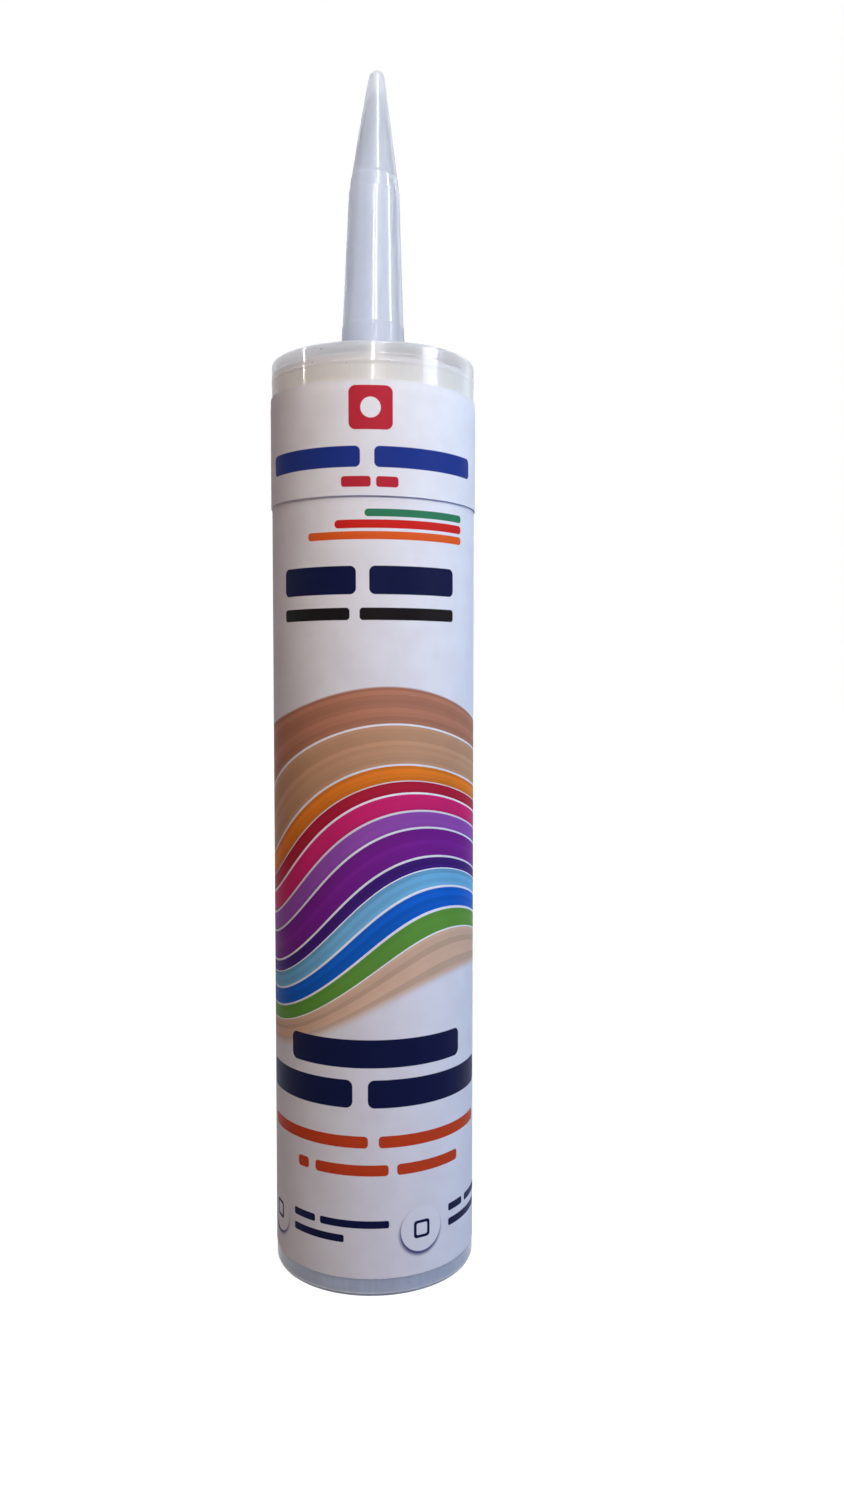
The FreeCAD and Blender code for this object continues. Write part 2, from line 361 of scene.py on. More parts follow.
class Turning(GeometryTree):
    """Tree that turns a half-section, which is the mesh's points in their order, about the Z axis."""

    LUMPS_UP: float = 300.0
    LUMP_DETAIL: float = 3.0
    WELD: float = 1e-6

    def __init__(self) -> None:
        """Builds the tree."""
        super().__init__("turning")
        segments = self.input("Segments", 256)
        lean, lean_from, lean_to = (self.input(name, 0.0) for name in ("Lean", "Lean From", "Lean To"))
        ripple_height = self.input("Ripple Height", 0.0)
        ripple_reach = self.input("Ripple Reach", 0.001)
        ripple_out = self.input("Ripple Out", 0.0)
        ripple_down = self.input("Ripple Down", 0.0)
        ripple_count = self.input("Ripple Count", 8.0)
        counted = self.add("GeometryNodeAttributeDomainSize", {"Geometry": self.mesh}, component="MESH")
        spans = self.signal(counted) - 1.0
        grid, column, row = self.grid(spans, segments)
        index = self.math("ROUND", column + spans / 2.0)
        inputs = {"Geometry": self.mesh, "Value": self.position(), "Index": index}
        sampled = self.add("GeometryNodeSampleIndex", inputs, data_type="FLOAT_VECTOR")
        radius, _, height = self.split(sampled.outputs[0])
        angle = row / segments * TURN
        x, y = angle.sin(), angle.cos()
        around = self.joined(x * ripple_count, y * ripple_count, height * self.LUMPS_UP)
        lumps = self.noise(around, 1.0, self.LUMP_DETAIL)
        near = height.bell(ripple_height, ripple_reach)
        radius = radius + near * ripple_out * (lumps - 0.5)
        share = ((height - lean_from) / (lean_to - lean_from)).clipped()
        z = height - near * ripple_down * lumps
        turned_mesh = self.moved(grid, self.joined(radius * x + lean * share * share, radius * y * -1.0, z))
        inputs = {"Geometry": turned_mesh, "Distance": self.WELD}
        self.finish(self.add("GeometryNodeMergeByDistance", inputs).outputs[0])


class Spokes(GeometryTree):
    """Tree that repeats a mesh round the Z axis."""

    def __init__(self) -> None:
        """Builds the tree."""
        super().__init__("spokes")
        count = self.input("Count", 6)
        line = self.add("GeometryNodeMeshLine", {"Count": count, "Offset": (0.0, 0.0, 0.0)})
        index = self.signal(self.add("GeometryNodeInputIndex"))
        turn = self.joined(0.0, 0.0, index / count * TURN)
        inputs = {"Points": line.outputs[0], "Instance": self.mesh, "Rotation": turn}
        self.finish(self.add("GeometryNodeInstanceOnPoints", inputs).outputs[0])


class Wrapping(GeometryTree):
    """Tree that wraps a thin sheet round the Z axis with its ends lapped.

    Below are the share of its height and the radians over which a corner lifts, the metres over which the
    sheet sinks, and the share of its height that the rough cut reaches, with the cut's noise.
    """

    LIFT_SHARE: float = 0.16
    LIFT_REACH: float = 0.6
    SINK_SLOPE: float = 0.0003
    CUT_SHARE: float = 0.04
    CUT_ROUND: float = 24.6
    CUT_LUMPS: float = 1.4
    CUT_DETAIL: float = 3.0
    CUT_GRIT: float = 0.7

    def __init__(self) -> None:
        """Builds the tree."""
        super().__init__("wrapping")
        columns = self.input("Columns", 320)
        rows = self.input("Rows", 12)
        base = self.input("Radius", 0.0246)
        bottom = self.input("Bottom", 0.0)
        top = self.input("Top", 0.2)
        seam = self.input("Seam Angle", math.pi)
        lap = self.input("Lap Angle", 0.28)
        lap_rise = self.input("Lap Rise", 0.00012)
        lap_blend = self.input("Lap Blend", 0.05)
        under_half = self.input("Under Lap Half Angle", 0.0)
        under_rise = self.input("Under Lap Rise", 0.0)
        skew = self.input("Skew", 0.0)
        cut = self.input("Cut Roughness", 0.0)
        sink_height = self.input("Sink Height", 1.0)
        sink = self.input("Sink Depth", 0.0)
        lift = self.input("Lift", 0.0)
        lift_angle = self.input("Lift Angle", 1.4)
        grid, column, row = self.grid(columns, rows)
        share = row / rows + 0.5
        round_it = column / columns * (lap + TURN)
        angle = round_it + seam - math.pi
        x, y = angle.sin(), angle.cos()
        over = round_it.step(math.pi - lap / 2.0 - lap_blend, math.pi - lap / 2.0)
        from_back = self.math("ARCCOSINE", y * -1.0)
        bridging = 1.0 - from_back.step(under_half, under_half + lap_blend)
        plain = bottom + share * (top - bottom)
        lifting = (1.0 - share.step(0.0, self.LIFT_SHARE)) * angle.bell(lift_angle, self.LIFT_REACH)
        radius = base + over * lap_rise + bridging * under_rise + lifting * lift
        radius = radius - plain.step(sink_height, sink_height + self.SINK_SLOPE) * sink
        around = self.joined(x * self.CUT_ROUND, y * self.CUT_ROUND, 0.0)
        ragged = self.noise(around, self.CUT_LUMPS, self.CUT_DETAIL, self.CUT_GRIT) - 0.5
        ragged = ragged * (1.0 - share.step(0.0, self.CUT_SHARE))
        height = plain - x * radius * skew + ragged * cut
        self.finish(self.moved(grid, self.joined(radius * x, radius * y * -1.0, height)))


class Trees:
    """The geometry trees, each made once."""

    turning: bpy.types.NodeTree
    spokes: bpy.types.NodeTree
    wrapping: bpy.types.NodeTree

    @classmethod
    def build(cls) -> None:
        """Builds the trees."""
        cls.turning = Turning().tree
        cls.spokes = Spokes().tree
        cls.wrapping = Wrapping().tree


# Mesh helpers


def added(name: str, data: bpy.types.ID) -> bpy.types.Object:
    """A new object in the scene.

    Args:
        name: its name.
        data: its mesh, lamp or camera.

    Returns:
        The object.
    """
    made = bpy.data.objects.new(name, data)
    bpy.context.scene.collection.objects.link(made)
    return made


def shaped(
    name: str,
    start: bpy.types.Mesh,
    tree: bpy.types.NodeTree,
    material: bpy.types.Material,
    sizes: dict[str, float | int],
    thickness: float = 0.0,
) -> bpy.types.Object:
    """Runs a geometry tree and keeps its result as a plain mesh.

    Args:
        name: name of the new object.
        start: mesh that the tree is given.
        tree: the tree.
        material: what the result is made of.
        sizes: values of the tree's named inputs.
        thickness: wall in metres that an open sheet gets, half on each side.

    Returns:
        The object, with no modifier left.
    """
    piece = added(name, start)
    modifier = piece.modifiers.new("shape", "NODES")
    modifier.node_group = tree
    values = dict(sizes, Material=material)
    for item in tree.interface.items_tree:
        if item.item_type == "SOCKET" and item.in_out == "INPUT" and item.name in values:
            modifier[item.identifier] = values[item.name]
    if thickness:
        wall = piece.modifiers.new("wall", "SOLIDIFY")
        wall.thickness = thickness
        wall.offset = 0.0
    graph = bpy.context.evaluated_depsgraph_get()
    mesh = bpy.data.meshes.new_from_object(piece.evaluated_get(graph))
    piece.modifiers.clear()
    piece.data = mesh
    mesh.name = name
    face_outwards(mesh)
    return piece


def face_outwards(mesh: bpy.types.Mesh) -> None:
    """Turns the faces of a closed mesh outwards and marks its sharp edges.

    Args:
        mesh: the mesh.
    """
    work = bmesh.new()
    work.from_mesh(mesh)
    bmesh.ops.dissolve_degenerate(work, dist=1e-7, edges=work.edges)
    bmesh.ops.recalc_face_normals(work, faces=work.faces)
    work.to_mesh(mesh)
    work.free()
    mesh.set_sharp_from_angle(angle=SHARP_ANGLE)


@dataclass(frozen=True)
class Ripple:
    """Raggedness of a turned piece, in millimetres: lumps that push it out or down about a height."""

    height: float = 0.0
    reach: float = 1.0
    out: float = 0.0
    down: float = 0.0
    count: float = 8.0

    def above(self, base: float) -> "Ripple":
        """The same with its height counted from a base."""
        return replace(self, height=base + self.height)

    def sizes(self) -> dict[str, float]:
        """What it is for the turning tree.

        Returns:
            Values of the tree's named inputs.
        """
        return {
            "Ripple Height": self.height * MM,
            "Ripple Reach": self.reach * MM,
            "Ripple Out": self.out * MM,
            "Ripple Down": self.down * MM,
            "Ripple Count": self.count,
        }


def turned(
    name: str,
    points: Profile,
    material: bpy.types.Material,
    segments: int,
    ripple: Ripple = Ripple(),
    **lean: float,
) -> bpy.types.Object:
    """A piece turned from its half-section.

    Args:
        name: name of the new object.
        points: radius and height of each point of the half-section, in millimetres.
        material: what it is made of.
        segments: faces round it.
        ripple: its raggedness.
        **lean: Lean, how far its top leans over, and the heights Lean_From and Lean_To, in millimetres.

    Returns:
        The object.
    """
    start = bpy.data.meshes.new("half_section")
    start.from_pydata([(radius * MM, 0.0, height * MM) for radius, height in points], [], [])
    sizes = {"Segments": segments, **ripple.sizes()}
    for key, value in lean.items():
        sizes[key.replace("_", " ")] = value * MM
    return shaped(name, start, Trees.turning, material, sizes)


def merged(name: str, pieces: list[bpy.types.Object], material: bpy.types.Material) -> bpy.types.Object:
    """One object from several, which are removed.

    Args:
        name: name of the new object.
        pieces: the objects.
        material: what it is made of.

    Returns:
        The new object.
    """
    work = bmesh.new()
    for piece in pieces:
        work.from_mesh(piece.data)
    mesh = bpy.data.meshes.new(name)
    work.to_mesh(mesh)
    work.free()
    mesh.materials.append(material)
    for piece in pieces:
        bpy.data.objects.remove(piece)
    mesh.set_sharp_from_angle(angle=SHARP_ANGLE)
    return added(name, mesh)


@dataclass(frozen=True)
class Corner:
    """A corner of a half-section, and how far it is rounded off."""

    radius: float
    height: float
    rounding: float = 0.0

    @property
    def point(self) -> Vector:
        """Its place in the half-section's plane."""
        return Vector((self.radius, self.height))


def eased(corners: list[Corner], closed: bool = False) -> Profile:
    """The half-section's points, with its corners rounded off.

    Each rounding has a point close to it on both sides, so that smooth shading stays on the rounding.

    Args:
        corners: the corners in order.
        closed: whether the last joins the first.

    Returns:
        Radius and height of each point. A closed half-section ends on its first point.
    """
    points: list[Vector] = []
    count = len(corners)
    for place, corner in enumerate(corners):
        at_end = not closed and place in (0, count - 1)
        if at_end or not corner.rounding:
            points.append(corner.point)
            continue
        before, after = corners[place - 1].point, corners[(place + 1) % count].point
        points.extend(arc_round(before, corner.point, after, corner.rounding))
    if closed:
        points.append(points[0])
    return [(point.x, point.y) for point in points]


def arc_round(before: Vector, here: Vector, after: Vector, rounding: float) -> list[Vector]:
    """Points of the arc that rounds off a corner.

    Args:
        before: the corner before it.
        here: the corner.
        after: the corner after it.
        rounding: the arc's radius.

    Returns:
        The arc's points, with a point close before and after them.
    """
    least_turn, step_turn, least_steps = 1e-3, math.radians(12), 3
    most_of_side, margin_share, most_margin = 0.42, 0.35, 0.15
    back, ahead = before - here, after - here
    room = most_of_side * min(back.length, ahead.length)
    back.normalize()
    ahead.normalize()
    opening = back.angle(ahead)
    turn = math.pi - opening
    if turn < least_turn:
        return [here]
    reach = min(rounding / math.tan(opening / 2), room)
    size = reach * math.tan(opening / 2)
    middle = here + (back + ahead).normalized() * (size / math.sin(opening / 2))
    first, last = here + back * reach, here + ahead * reach
    steps = max(least_steps, math.ceil(turn / step_turn))
    arc = []
    for step in range(steps + 1):
        arc.append(middle + (first - middle).slerp(last - middle, step / steps).normalized() * size)
    margin = min(margin_share * reach, most_margin)
    return [first + back * margin, *arc, last + ahead * margin]


def placed(piece: bpy.types.Object, body: "Body", slot: str, *nodes: str) -> None:
    """Puts a finished piece on its body in place of CAD nodes.

    Args:
        piece: the piece.
        body: the body that it moves with.
        slot: material slot name; not used.
        *nodes: CAD nodes that it stands for.
    """
    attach(piece, body.value)
    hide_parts(*nodes)
    log.info("%s: %d faces, on %s", piece.name, len(piece.data.polygons), body.value)


class Body(Enum):
    """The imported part's bodies."""

    TUBE = "tube"
    PLUNGER = "plunger"


@dataclass(frozen=True)
class Envelope:
    """Room that a CAD node takes up, in millimetres."""

    radius: float
    bottom: float
    top: float

    @classmethod
    def of(cls, node: str) -> "Envelope":
        """The room of the CAD node of that name."""
        low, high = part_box(node)
        return cls(high.x / MM, low.z / MM, high.z / MM)


# Finishes


@dataclass(frozen=True)
class Grain:
    """Noise in a material: lumps to the millimetre, octaves of finer ones, their weight, and its stretch."""

    scale: float
    detail: float = 2.0
    roughness: float = 0.5
    stretch: Triple = (1.0, 1.0, 1.0)


class Shader(Nodes):
    """A material that is being built round one Principled node."""

    def __init__(self, name: str) -> None:
        """Makes the material with its Principled node.

        Args:
            name: the material's name.
        """
        self.material = bpy.data.materials.new(name)
        self.material.use_nodes = True
        super().__init__(self.material.node_tree)
        self.surface = self.tree.nodes["Principled BSDF"]
        self.point = self.add("ShaderNodeTexCoord").outputs["Object"]

    @cached_property
    def millimetres(self) -> bpy.types.NodeSocket:
        """The point in millimetres."""
        return self.scaled(self.point, 1 / MM)

    @cached_property
    def height(self) -> Signal:
        """The point's height up the tube, in millimetres."""
        return self.split(self.millimetres)[2]

    def set(self, **values: object) -> None:
        """Sets or links the Principled node's inputs, named with _ for a space."""
        for name, value in values.items():
            self.feed(self.surface.inputs[name.replace("_", " ")], value)

    def grain(self, grain: Grain, place: bpy.types.NodeSocket | None = None) -> Signal:
        """Noise about 0.5.

        Args:
            grain: what it is like.
            place: where it is read, or nothing for the point in millimetres.

        Returns:
            The noise.
        """
        place = self.millimetres if place is None else place
        stretched = self.vector_math("MULTIPLY", place, grain.stretch).outputs[0]
        return self.noise(stretched, grain.scale, grain.detail, grain.roughness)

    def ramp(self, share: object, stops: tuple[tuple[float, Colour], ...]) -> bpy.types.NodeSocket:
        """Colour from a list of stops, each of which holds up to the next.

        Args:
            share: where in the list, from 0 to 1.
            stops: place and colour of each.

        Returns:
            The colour.
        """
        node = self.add("ShaderNodeValToRGB", {0: share})
        ramp = node.color_ramp
        ramp.interpolation = "CONSTANT"
        while len(ramp.elements) < len(stops):
            ramp.elements.new(0.5)
        for element, (place, colour) in zip(ramp.elements, stops):
            element.position = place
            element.color = (*colour, 1.0)
        return node.outputs[0]

    def bump(self, height: object, depth: float, strength: float = 1.0, under: object = None) -> object:
        """Normal of a surface with that height map.

        Args:
            height: height, from 0 to 1.
            depth: what a height of 1 is, in millimetres.
            strength: share of the bump that shows.
            under: normal that it is laid on.

        Returns:
            The normal.
        """
        inputs = {"Height": height, "Distance": depth * MM, "Strength": strength}
        if under is not None:
            inputs["Normal"] = under
        return self.add("ShaderNodeBump", inputs).outputs[0]


@dataclass(frozen=True)
class MouldedPlastic:
    """Milky plastic with faint clouds, flow lines along the axis, specks and fine pits.

    Between two heights it can be satin, with ridges along the axis.
    """

    name: str
    colour: Colour
    cloud: Colour
    clarity: float
    roughness: float
    gloss: float
    gloss_roughness: float = 0.08
    scatter: float = 0.0
    scatter_depth: float = 3.0
    scatter_spread: Triple = (1.0, 1.0, 1.0)
    ior: float = 1.5
    specular: float = 0.12
    clouds: Grain = Grain(0.16, 4.0)
    flow: Grain = Grain(1.1, 3.0, stretch=(1.0, 1.0, 0.05))
    streaks: float = 0.3
    cloud_span: Span = (0.36, 0.66)
    dots: Grain = Grain(1.1, 0.0)
    dot_span: Span = (0.845, 0.87)
    dot_colour: Colour = srgb(96, 90, 84)
    specks: float = 0.4
    pits: Grain = Grain(2.6, 3.0, 0.6, (1.0, 1.0, 0.25))
    pit_depth: float = 0.0015
    pit_strength: float = 0.7
    pit_roughness: float = 0.12
    ridge: Grain = Grain(2.4, 2.0, 0.6, (1.0, 1.0, 0.012))
    ridge_depth: float = 0.03
    ridge_strength: float = 0.8
    ridge_least: float = 0.04
    ridges: float = 0.0
    satin_from: float = 0.0
    satin_to: float = 0.0
    satin_roughness: float = 0.14
    satin_loss: float = 0.6

    def body_colour(self, shader: Shader, cloudiness: Signal) -> object:
        """Colour of the plastic before its specks."""
        return shader.blend(cloudiness, self.colour, self.cloud)

    def relief(self, shader: Shader, normal: object) -> object:
        """Normal with what else is raised on the plastic. Plain plastic has nothing more."""
        return normal

    def material(self) -> bpy.types.Material:
        """The finish as a material.

        Returns:
            The material.
        """
        shader = Shader(self.name)
        clouds = shader.grain(self.clouds) * (1.0 - self.streaks) + shader.grain(self.flow) * self.streaks
        colour = self.body_colour(shader, clouds.step(*self.cloud_span))
        dots = shader.grain(self.dots).step(*self.dot_span)
        satin = shader.height.between(self.satin_from, self.satin_to)
        pits = shader.grain(self.pits)
        ridge = shader.grain(self.ridge) * (satin * self.ridges + self.ridge_least)
        normal = shader.bump(pits, self.pit_depth, self.pit_strength)
        normal = shader.bump(ridge, self.ridge_depth, self.ridge_strength, normal)
        shader.set(
            Base_Color=shader.blend(dots * self.specks, colour, self.dot_colour),
            Roughness=self.roughness + satin * self.satin_roughness + (pits - 0.5) * self.pit_roughness,
            Transmission_Weight=self.clarity,
            IOR=self.ior,
            Subsurface_Weight=self.scatter,
            Subsurface_Radius=self.scatter_spread,
            Subsurface_Scale=self.scatter_depth * MM,
            Specular_IOR_Level=self.specular,
            Coat_Weight=self.gloss - satin * (self.gloss * self.satin_loss),
            Coat_Roughness=self.gloss_roughness,
            Normal=self.relief(shader, normal),
        )
        return shader.material


@dataclass(frozen=True)
class CapPlastic(MouldedPlastic):
    """The cap's plastic: warmer at its rim, with painted shade darkening its cone, painted highlights at its
    rings, and one dark speck.
    """

    rim: Colour = srgb(248, 244, 249)
    rim_top: float = 218.9
    rim_blend: float = 1.2
    cone_bottom: float = 262.0
    cone_middle: float = 276.0
    # Painted shade: how much darker the cone is painted towards its tip.
    cone_shade: float = 0.12
    rings: tuple[float, ...] = (228.87, 260.87, 264.1)
    ring_reach: float = 0.16
    ring_share: float = 0.6
    # Painted highlight: pale colour of the bands at the rings.
    ring_highlight: Colour = srgb(250, 250, 253)
    speck_place: Triple = (-11.7, -21.55, 217.7)
    speck_radius: float = 0.16

    def body_colour(self, shader: Shader, cloudiness: Signal) -> object:
        """Colour of the plastic before its fine specks.

        Args:
            shader: the material that is being built.
            cloudiness: how cloudy it is at the point, from 0 to 1.

        Returns:
            The colour.
        """
        height = shader.height
        colour = super().body_colour(shader, cloudiness)
        # Painted shade: the cone is darkened from its foot towards the tip.
        painted_cone_shade = height.step(self.cone_bottom, self.cone_middle) * self.cone_shade
        colour = shader.scaled(colour, 1.0 - painted_cone_shade)
        # Painted highlights: a pale band at each ring, where its edge catches light.
        for ring in self.rings:
            colour = shader.blend(height.bell(ring, self.ring_reach) * self.ring_share, colour, self.ring_highlight)
        colour = shader.blend(height.step(self.rim_top - self.rim_blend, self.rim_top), self.rim, colour)
        away = shader.signal(shader.vector_math("DISTANCE", shader.millimetres, self.speck_place), 1)
        return shader.blend(away < self.speck_radius, colour, self.dot_colour)


@dataclass(frozen=True)
class BarrelPlastic(MouldedPlastic):
    """The barrel's plastic: cream near the top, where paste lies behind it, and greyer below, a painted
    shade of the empty bore behind it, with painted highlights on its rear bevel and weld bead.
    """

    backed: Colour = srgb(241, 237, 234)
    backed_cloud: Colour = srgb(236, 231, 226)
    backed_from: float = 60.0
    backed_to: float = 214.9
    edge: Grain = Grain(0.12, 3.0, stretch=(1.0, 1.0, 0.0))
    edge_drop: float = 1.1
    edge_swing: float = 1.6
    edge_blend: float = 0.35
    over: Colour = srgb(240, 236, 236)
    # Painted highlight: a pale band on the rear bevel, between the two heights below, where it faces the
    # bright floor.
    rim: Colour = srgb(236, 238, 243)
    bevel_highlight_from: float = 0.6
    bevel_highlight_to: float = 0.95
    # Painted highlight on the weld bead.
    bead_highlight: Colour = srgb(252, 252, 252)
    bead_highlight_share: float = 0.8
    bead_height: float = 214.6
    bead_reach: float = 0.4
    bead_line: Grain = Grain(0.35, 3.0, 0.6, (1.0, 1.0, 0.4))
    bead_swing: float = 0.7
    bead_patches: Grain = Grain(0.16, 2.0, stretch=(1.0, 1.0, 0.0))
    bead_span: Span = (0.42, 0.66)
    bead_depth: float = 0.04

    def body_colour(self, shader: Shader, cloudiness: Signal) -> object:
        """Colour of the plastic before its specks.

        Args:
            shader: the material that is being built.
            cloudiness: how cloudy it is at the point, from 0 to 1.

        Returns:
            The colour.
        """
        height = shader.height
        # Painted shade: the plastic below is greyer for the dark empty bore behind it.
        hollow = super().body_colour(shader, cloudiness)
        hollow = shader.blend(height > self.backed_from, hollow, self.over)
        # Painted highlight: a pale band on the rear bevel, where it faces the bright floor.
        hollow = shader.blend(height.between(self.bevel_highlight_from, self.bevel_highlight_to), hollow, self.rim)
        backed = shader.blend(cloudiness, self.backed, self.backed_cloud)
        top = shader.grain(self.edge) * self.edge_swing + (self.backed_to - self.edge_drop)
        below = 1.0 - height.step(top - self.edge_blend, top + self.edge_blend)
        colour = shader.blend((height > self.backed_from) * below, hollow, backed)
        # Painted highlight: the weld bead is lightened where it is raised.
        return shader.blend(self.bead(shader) * self.bead_highlight_share, colour, self.bead_highlight)

    def bead(self, shader: Shader) -> Signal:
        """Ragged bead that the weld leaves here and there under the cap, which also places its painted
        highlight.

        Args:
            shader: the material that is being built.

        Returns:
            Its height, from 0 to 1.
        """
        low, high = self.bead_height - self.bead_swing, self.bead_height + self.bead_swing
        line = shader.grain(self.bead_line).spread(low, high)
        patchy = shader.grain(self.bead_patches).step(*self.bead_span)
        return shader.height.bell(line, self.bead_reach) * patchy

    def relief(self, shader: Shader, normal: object) -> object:
        """Adds the bead to the normal."""
        return shader.bump(self.bead(shader), self.bead_depth, 1.0, normal)


@dataclass(frozen=True)
class Paste:
    """Smooth dense paste with faint streaks of its mixing."""

    name: str = "cream_paste"
    colour: Colour = srgb(224, 217, 205)
    streak: Colour = srgb(213, 205, 191)
    swirl: Grain = Grain(0.14, 4.0, 0.6, (1.0, 1.0, 0.3))
    swirl_span: Span = (0.35, 0.7)
    swirl_height: float = 0.7
    grit: Grain = Grain(3.0, 2.0)
    grit_height: float = 0.3
    grit_roughness: float = 0.15
    depth: float = 0.05
    roughness: float = 0.42

    def material(self) -> bpy.types.Material:
        """The finish as a material.

        Returns:
            The material.
        """
        shader = Shader(self.name)
        swirl, grit = shader.grain(self.swirl), shader.grain(self.grit)
        shader.set(
            Base_Color=shader.blend(swirl.step(*self.swirl_span), self.colour, self.streak),
            Roughness=self.roughness + (grit - 0.5) * self.grit_roughness,
            Normal=shader.bump(swirl * self.swirl_height + grit * self.grit_height, self.depth),
        )
        return shader.material


@dataclass(frozen=True)
class Foil:
    """Thin rolled foil, slightly wrinkled."""

    name: str = "seal_foil"
    colour: Colour = srgb(214, 214, 218)
    line: Colour = srgb(196, 196, 202)
    lines: Grain = Grain(1.0, 2.0, stretch=(0.3, 6.0, 1.0))
    line_span: Span = (0.3, 0.7)
    line_roughness: float = 0.2
    wrinkle: Grain = Grain(0.5, 3.0, 0.6)
    wrinkle_depth: float = 0.06
    roughness: float = 0.28

    def material(self) -> bpy.types.Material:
        """The finish as a material.

        Returns:
            The material.
        """
        shader = Shader(self.name)
        lines = shader.grain(self.lines)
        shader.set(
            Base_Color=shader.blend(lines.step(*self.line_span), self.colour, self.line),
            Metallic=1.0,
            Roughness=self.roughness + (lines - 0.5) * self.line_roughness,
            Normal=shader.bump(shader.grain(self.wrinkle), self.wrinkle_depth),
        )
        return shader.material


class Ink(Enum):
    """The inks of the label prints."""

    RED = srgb(186, 42, 58)
    BLUE = srgb(32, 52, 132)
    GREEN = srgb(52, 122, 88)
    SCARLET = srgb(206, 38, 32)
    ORANGE = srgb(224, 92, 38)
    NAVY = srgb(18, 24, 62)
    BLACK = srgb(26, 22, 24)
    RUST = srgb(196, 66, 34)


@dataclass(frozen=True)
class Bar:
    """A printed bar, in millimetres along and up the label."""

    left: float
    right: float
    bottom: float
    top: float
    ink: Ink
    rounding: float = 0.5

    @classmethod
    def square(cls, along: float, up: float, half: float, ink: Ink, rounding: float) -> "Bar":
        """A square bar about a place."""
        return cls(along - half, along + half, up - half, up + half, ink, rounding)


def row(bottom: float, top: float, ink: Ink, rounding: float, *spans: Span) -> tuple[Bar, ...]:
    """A row of bars of one height and ink, from the left to the right end of each span."""
    return tuple(Bar(left, right, bottom, top, ink, rounding) for left, right in spans)


class LabelShader(Shader):
    """A printed label's material, with the place on the flat label in millimetres."""

    CRISPNESS: float = 8.0

    def __init__(self, name: str, radius: float, skew: float) -> None:
        """Makes the material.

        Args:
            name: its name.
            radius: radius that the label is wrapped at.
            skew: slope of its print, down to the right.
        """
        super().__init__(name)
        x, y, z = self.split(self.millimetres)
        self.angle = self.math("ARCTAN2", x, y * -1.0)
        self.up = z + x * skew
        self.place = self.joined(self.angle * radius, self.up, 0.0)

    def bar(self, bar: Bar) -> Signal:
        """1 inside a bar with rounded corners.

        Args:
            bar: the bar.

        Returns:
            The mask.
        """
        middle = ((bar.left + bar.right) / 2, (bar.bottom + bar.top) / 2, 0.0)
        half = ((bar.right - bar.left) / 2 - bar.rounding, (bar.top - bar.bottom) / 2 - bar.rounding, 1.0)
        offset = self.vector_math("SUBTRACT", self.place, middle).outputs[0]
        size = self.vector_math("ABSOLUTE", offset).outputs[0]
        outside = self.vector_math("SUBTRACT", size, half).outputs[0]
        beyond = self.vector_math("MAXIMUM", outside, (0.0, 0.0, 0.0)).outputs[0]
        distance = self.vector_math("LENGTH", beyond).outputs[1]
        inside = bar.rounding * self.CRISPNESS + 0.5
        return self.math("MULTIPLY_ADD", distance, -self.CRISPNESS, inside, clamp=True)

    def disc(self, along: float, up: float, radius: float, blur: float = 0.12) -> Signal:
        """1 inside a disc, with a blurred edge."""
        distance = self.vector_math("DISTANCE", self.place, (along, up, 0.0)).outputs[1]
        return self.math("MULTIPLY_ADD", distance, -1.0 / blur, radius / blur + 0.5, clamp=True)


@dataclass(frozen=True)
class Paper:
    """Semi-gloss printed label paper."""

    name: str
    radius: float
    skew: float = 0.0
    colour: Colour = srgb(232, 230, 236)
    shade: Colour = srgb(228, 225, 231)
    patches: Grain = Grain(0.11, 3.0)
    patch_span: Span = (0.35, 0.65)
    fibre: Grain = Grain(2.4, 4.0, 0.65)
    fibre_tone: Span = (0.975, 1.025)
    fibre_roughness: float = 0.1
    fibre_depth: float = 0.008
    fibre_strength: float = 0.8
    roughness: float = 0.5
    ink_smoothness: float = 0.06
    specular: float = 0.03
    bars: tuple[Bar, ...] = ()

    def ribbons(self, shader: LabelShader, colour: object) -> object:
        """Adds the picture to the colour, if the label has one."""
        return colour

    def badges(self, shader: LabelShader, colour: object) -> object:
        """Adds the round marks to the colour, if the label has any."""
        return colour

    def material(self) -> bpy.types.Material:
        """The finish as a material.

        Returns:
            The material.
        """
        shader = LabelShader(self.name, self.radius, self.skew)
        fibre = shader.grain(self.fibre, shader.place)
        patches = shader.grain(self.patches, shader.place).step(*self.patch_span)
        colour = self.ribbons(shader, shader.blend(patches, self.colour, self.shade))
        inked: Signal | float = 0.0
        for ink in Ink:
            masks = [shader.bar(bar) for bar in self.bars if bar.ink is ink]
            if masks:
                mask = reduce(Signal.at_least, masks)
                colour = shader.blend(mask, colour, ink.value)
                inked = mask + inked
        colour = self.badges(shader, colour)
        fibre_part = (fibre - 0.5) * self.fibre_roughness
        shader.set(
            Base_Color=shader.scaled(colour, fibre.spread(*self.fibre_tone)),
            Roughness=self.roughness + fibre_part - inked * self.ink_smoothness,
            Specular_IOR_Level=self.specular,
            Normal=shader.bump(fibre, self.fibre_depth, self.fibre_strength),
        )
        return shader.material


@dataclass(frozen=True)
class BandPaper(Paper):
    """Paper of the band label, with a square mark, a broad row and a narrow row."""

    bars: tuple[Bar, ...] = (
        *row(199.2, 209.0, Ink.RED, 1.6, (-5.6, 4.4)),
        *row(190.9, 195.6, Ink.BLUE, 1.2, (-29.5, -3.0), (0.2, 28.0)),
        *row(186.5, 188.9, Ink.RED, 0.7, (-7.4, -0.6), (0.6, 5.7)),
    )
    dot: Triple = (-0.6, 204.1, 2.3)

    def badges(self, shader: LabelShader, colour: object) -> object:
        """Adds the white disc in the square mark."""
        return shader.blend(shader.disc(*self.dot), colour, self.colour)


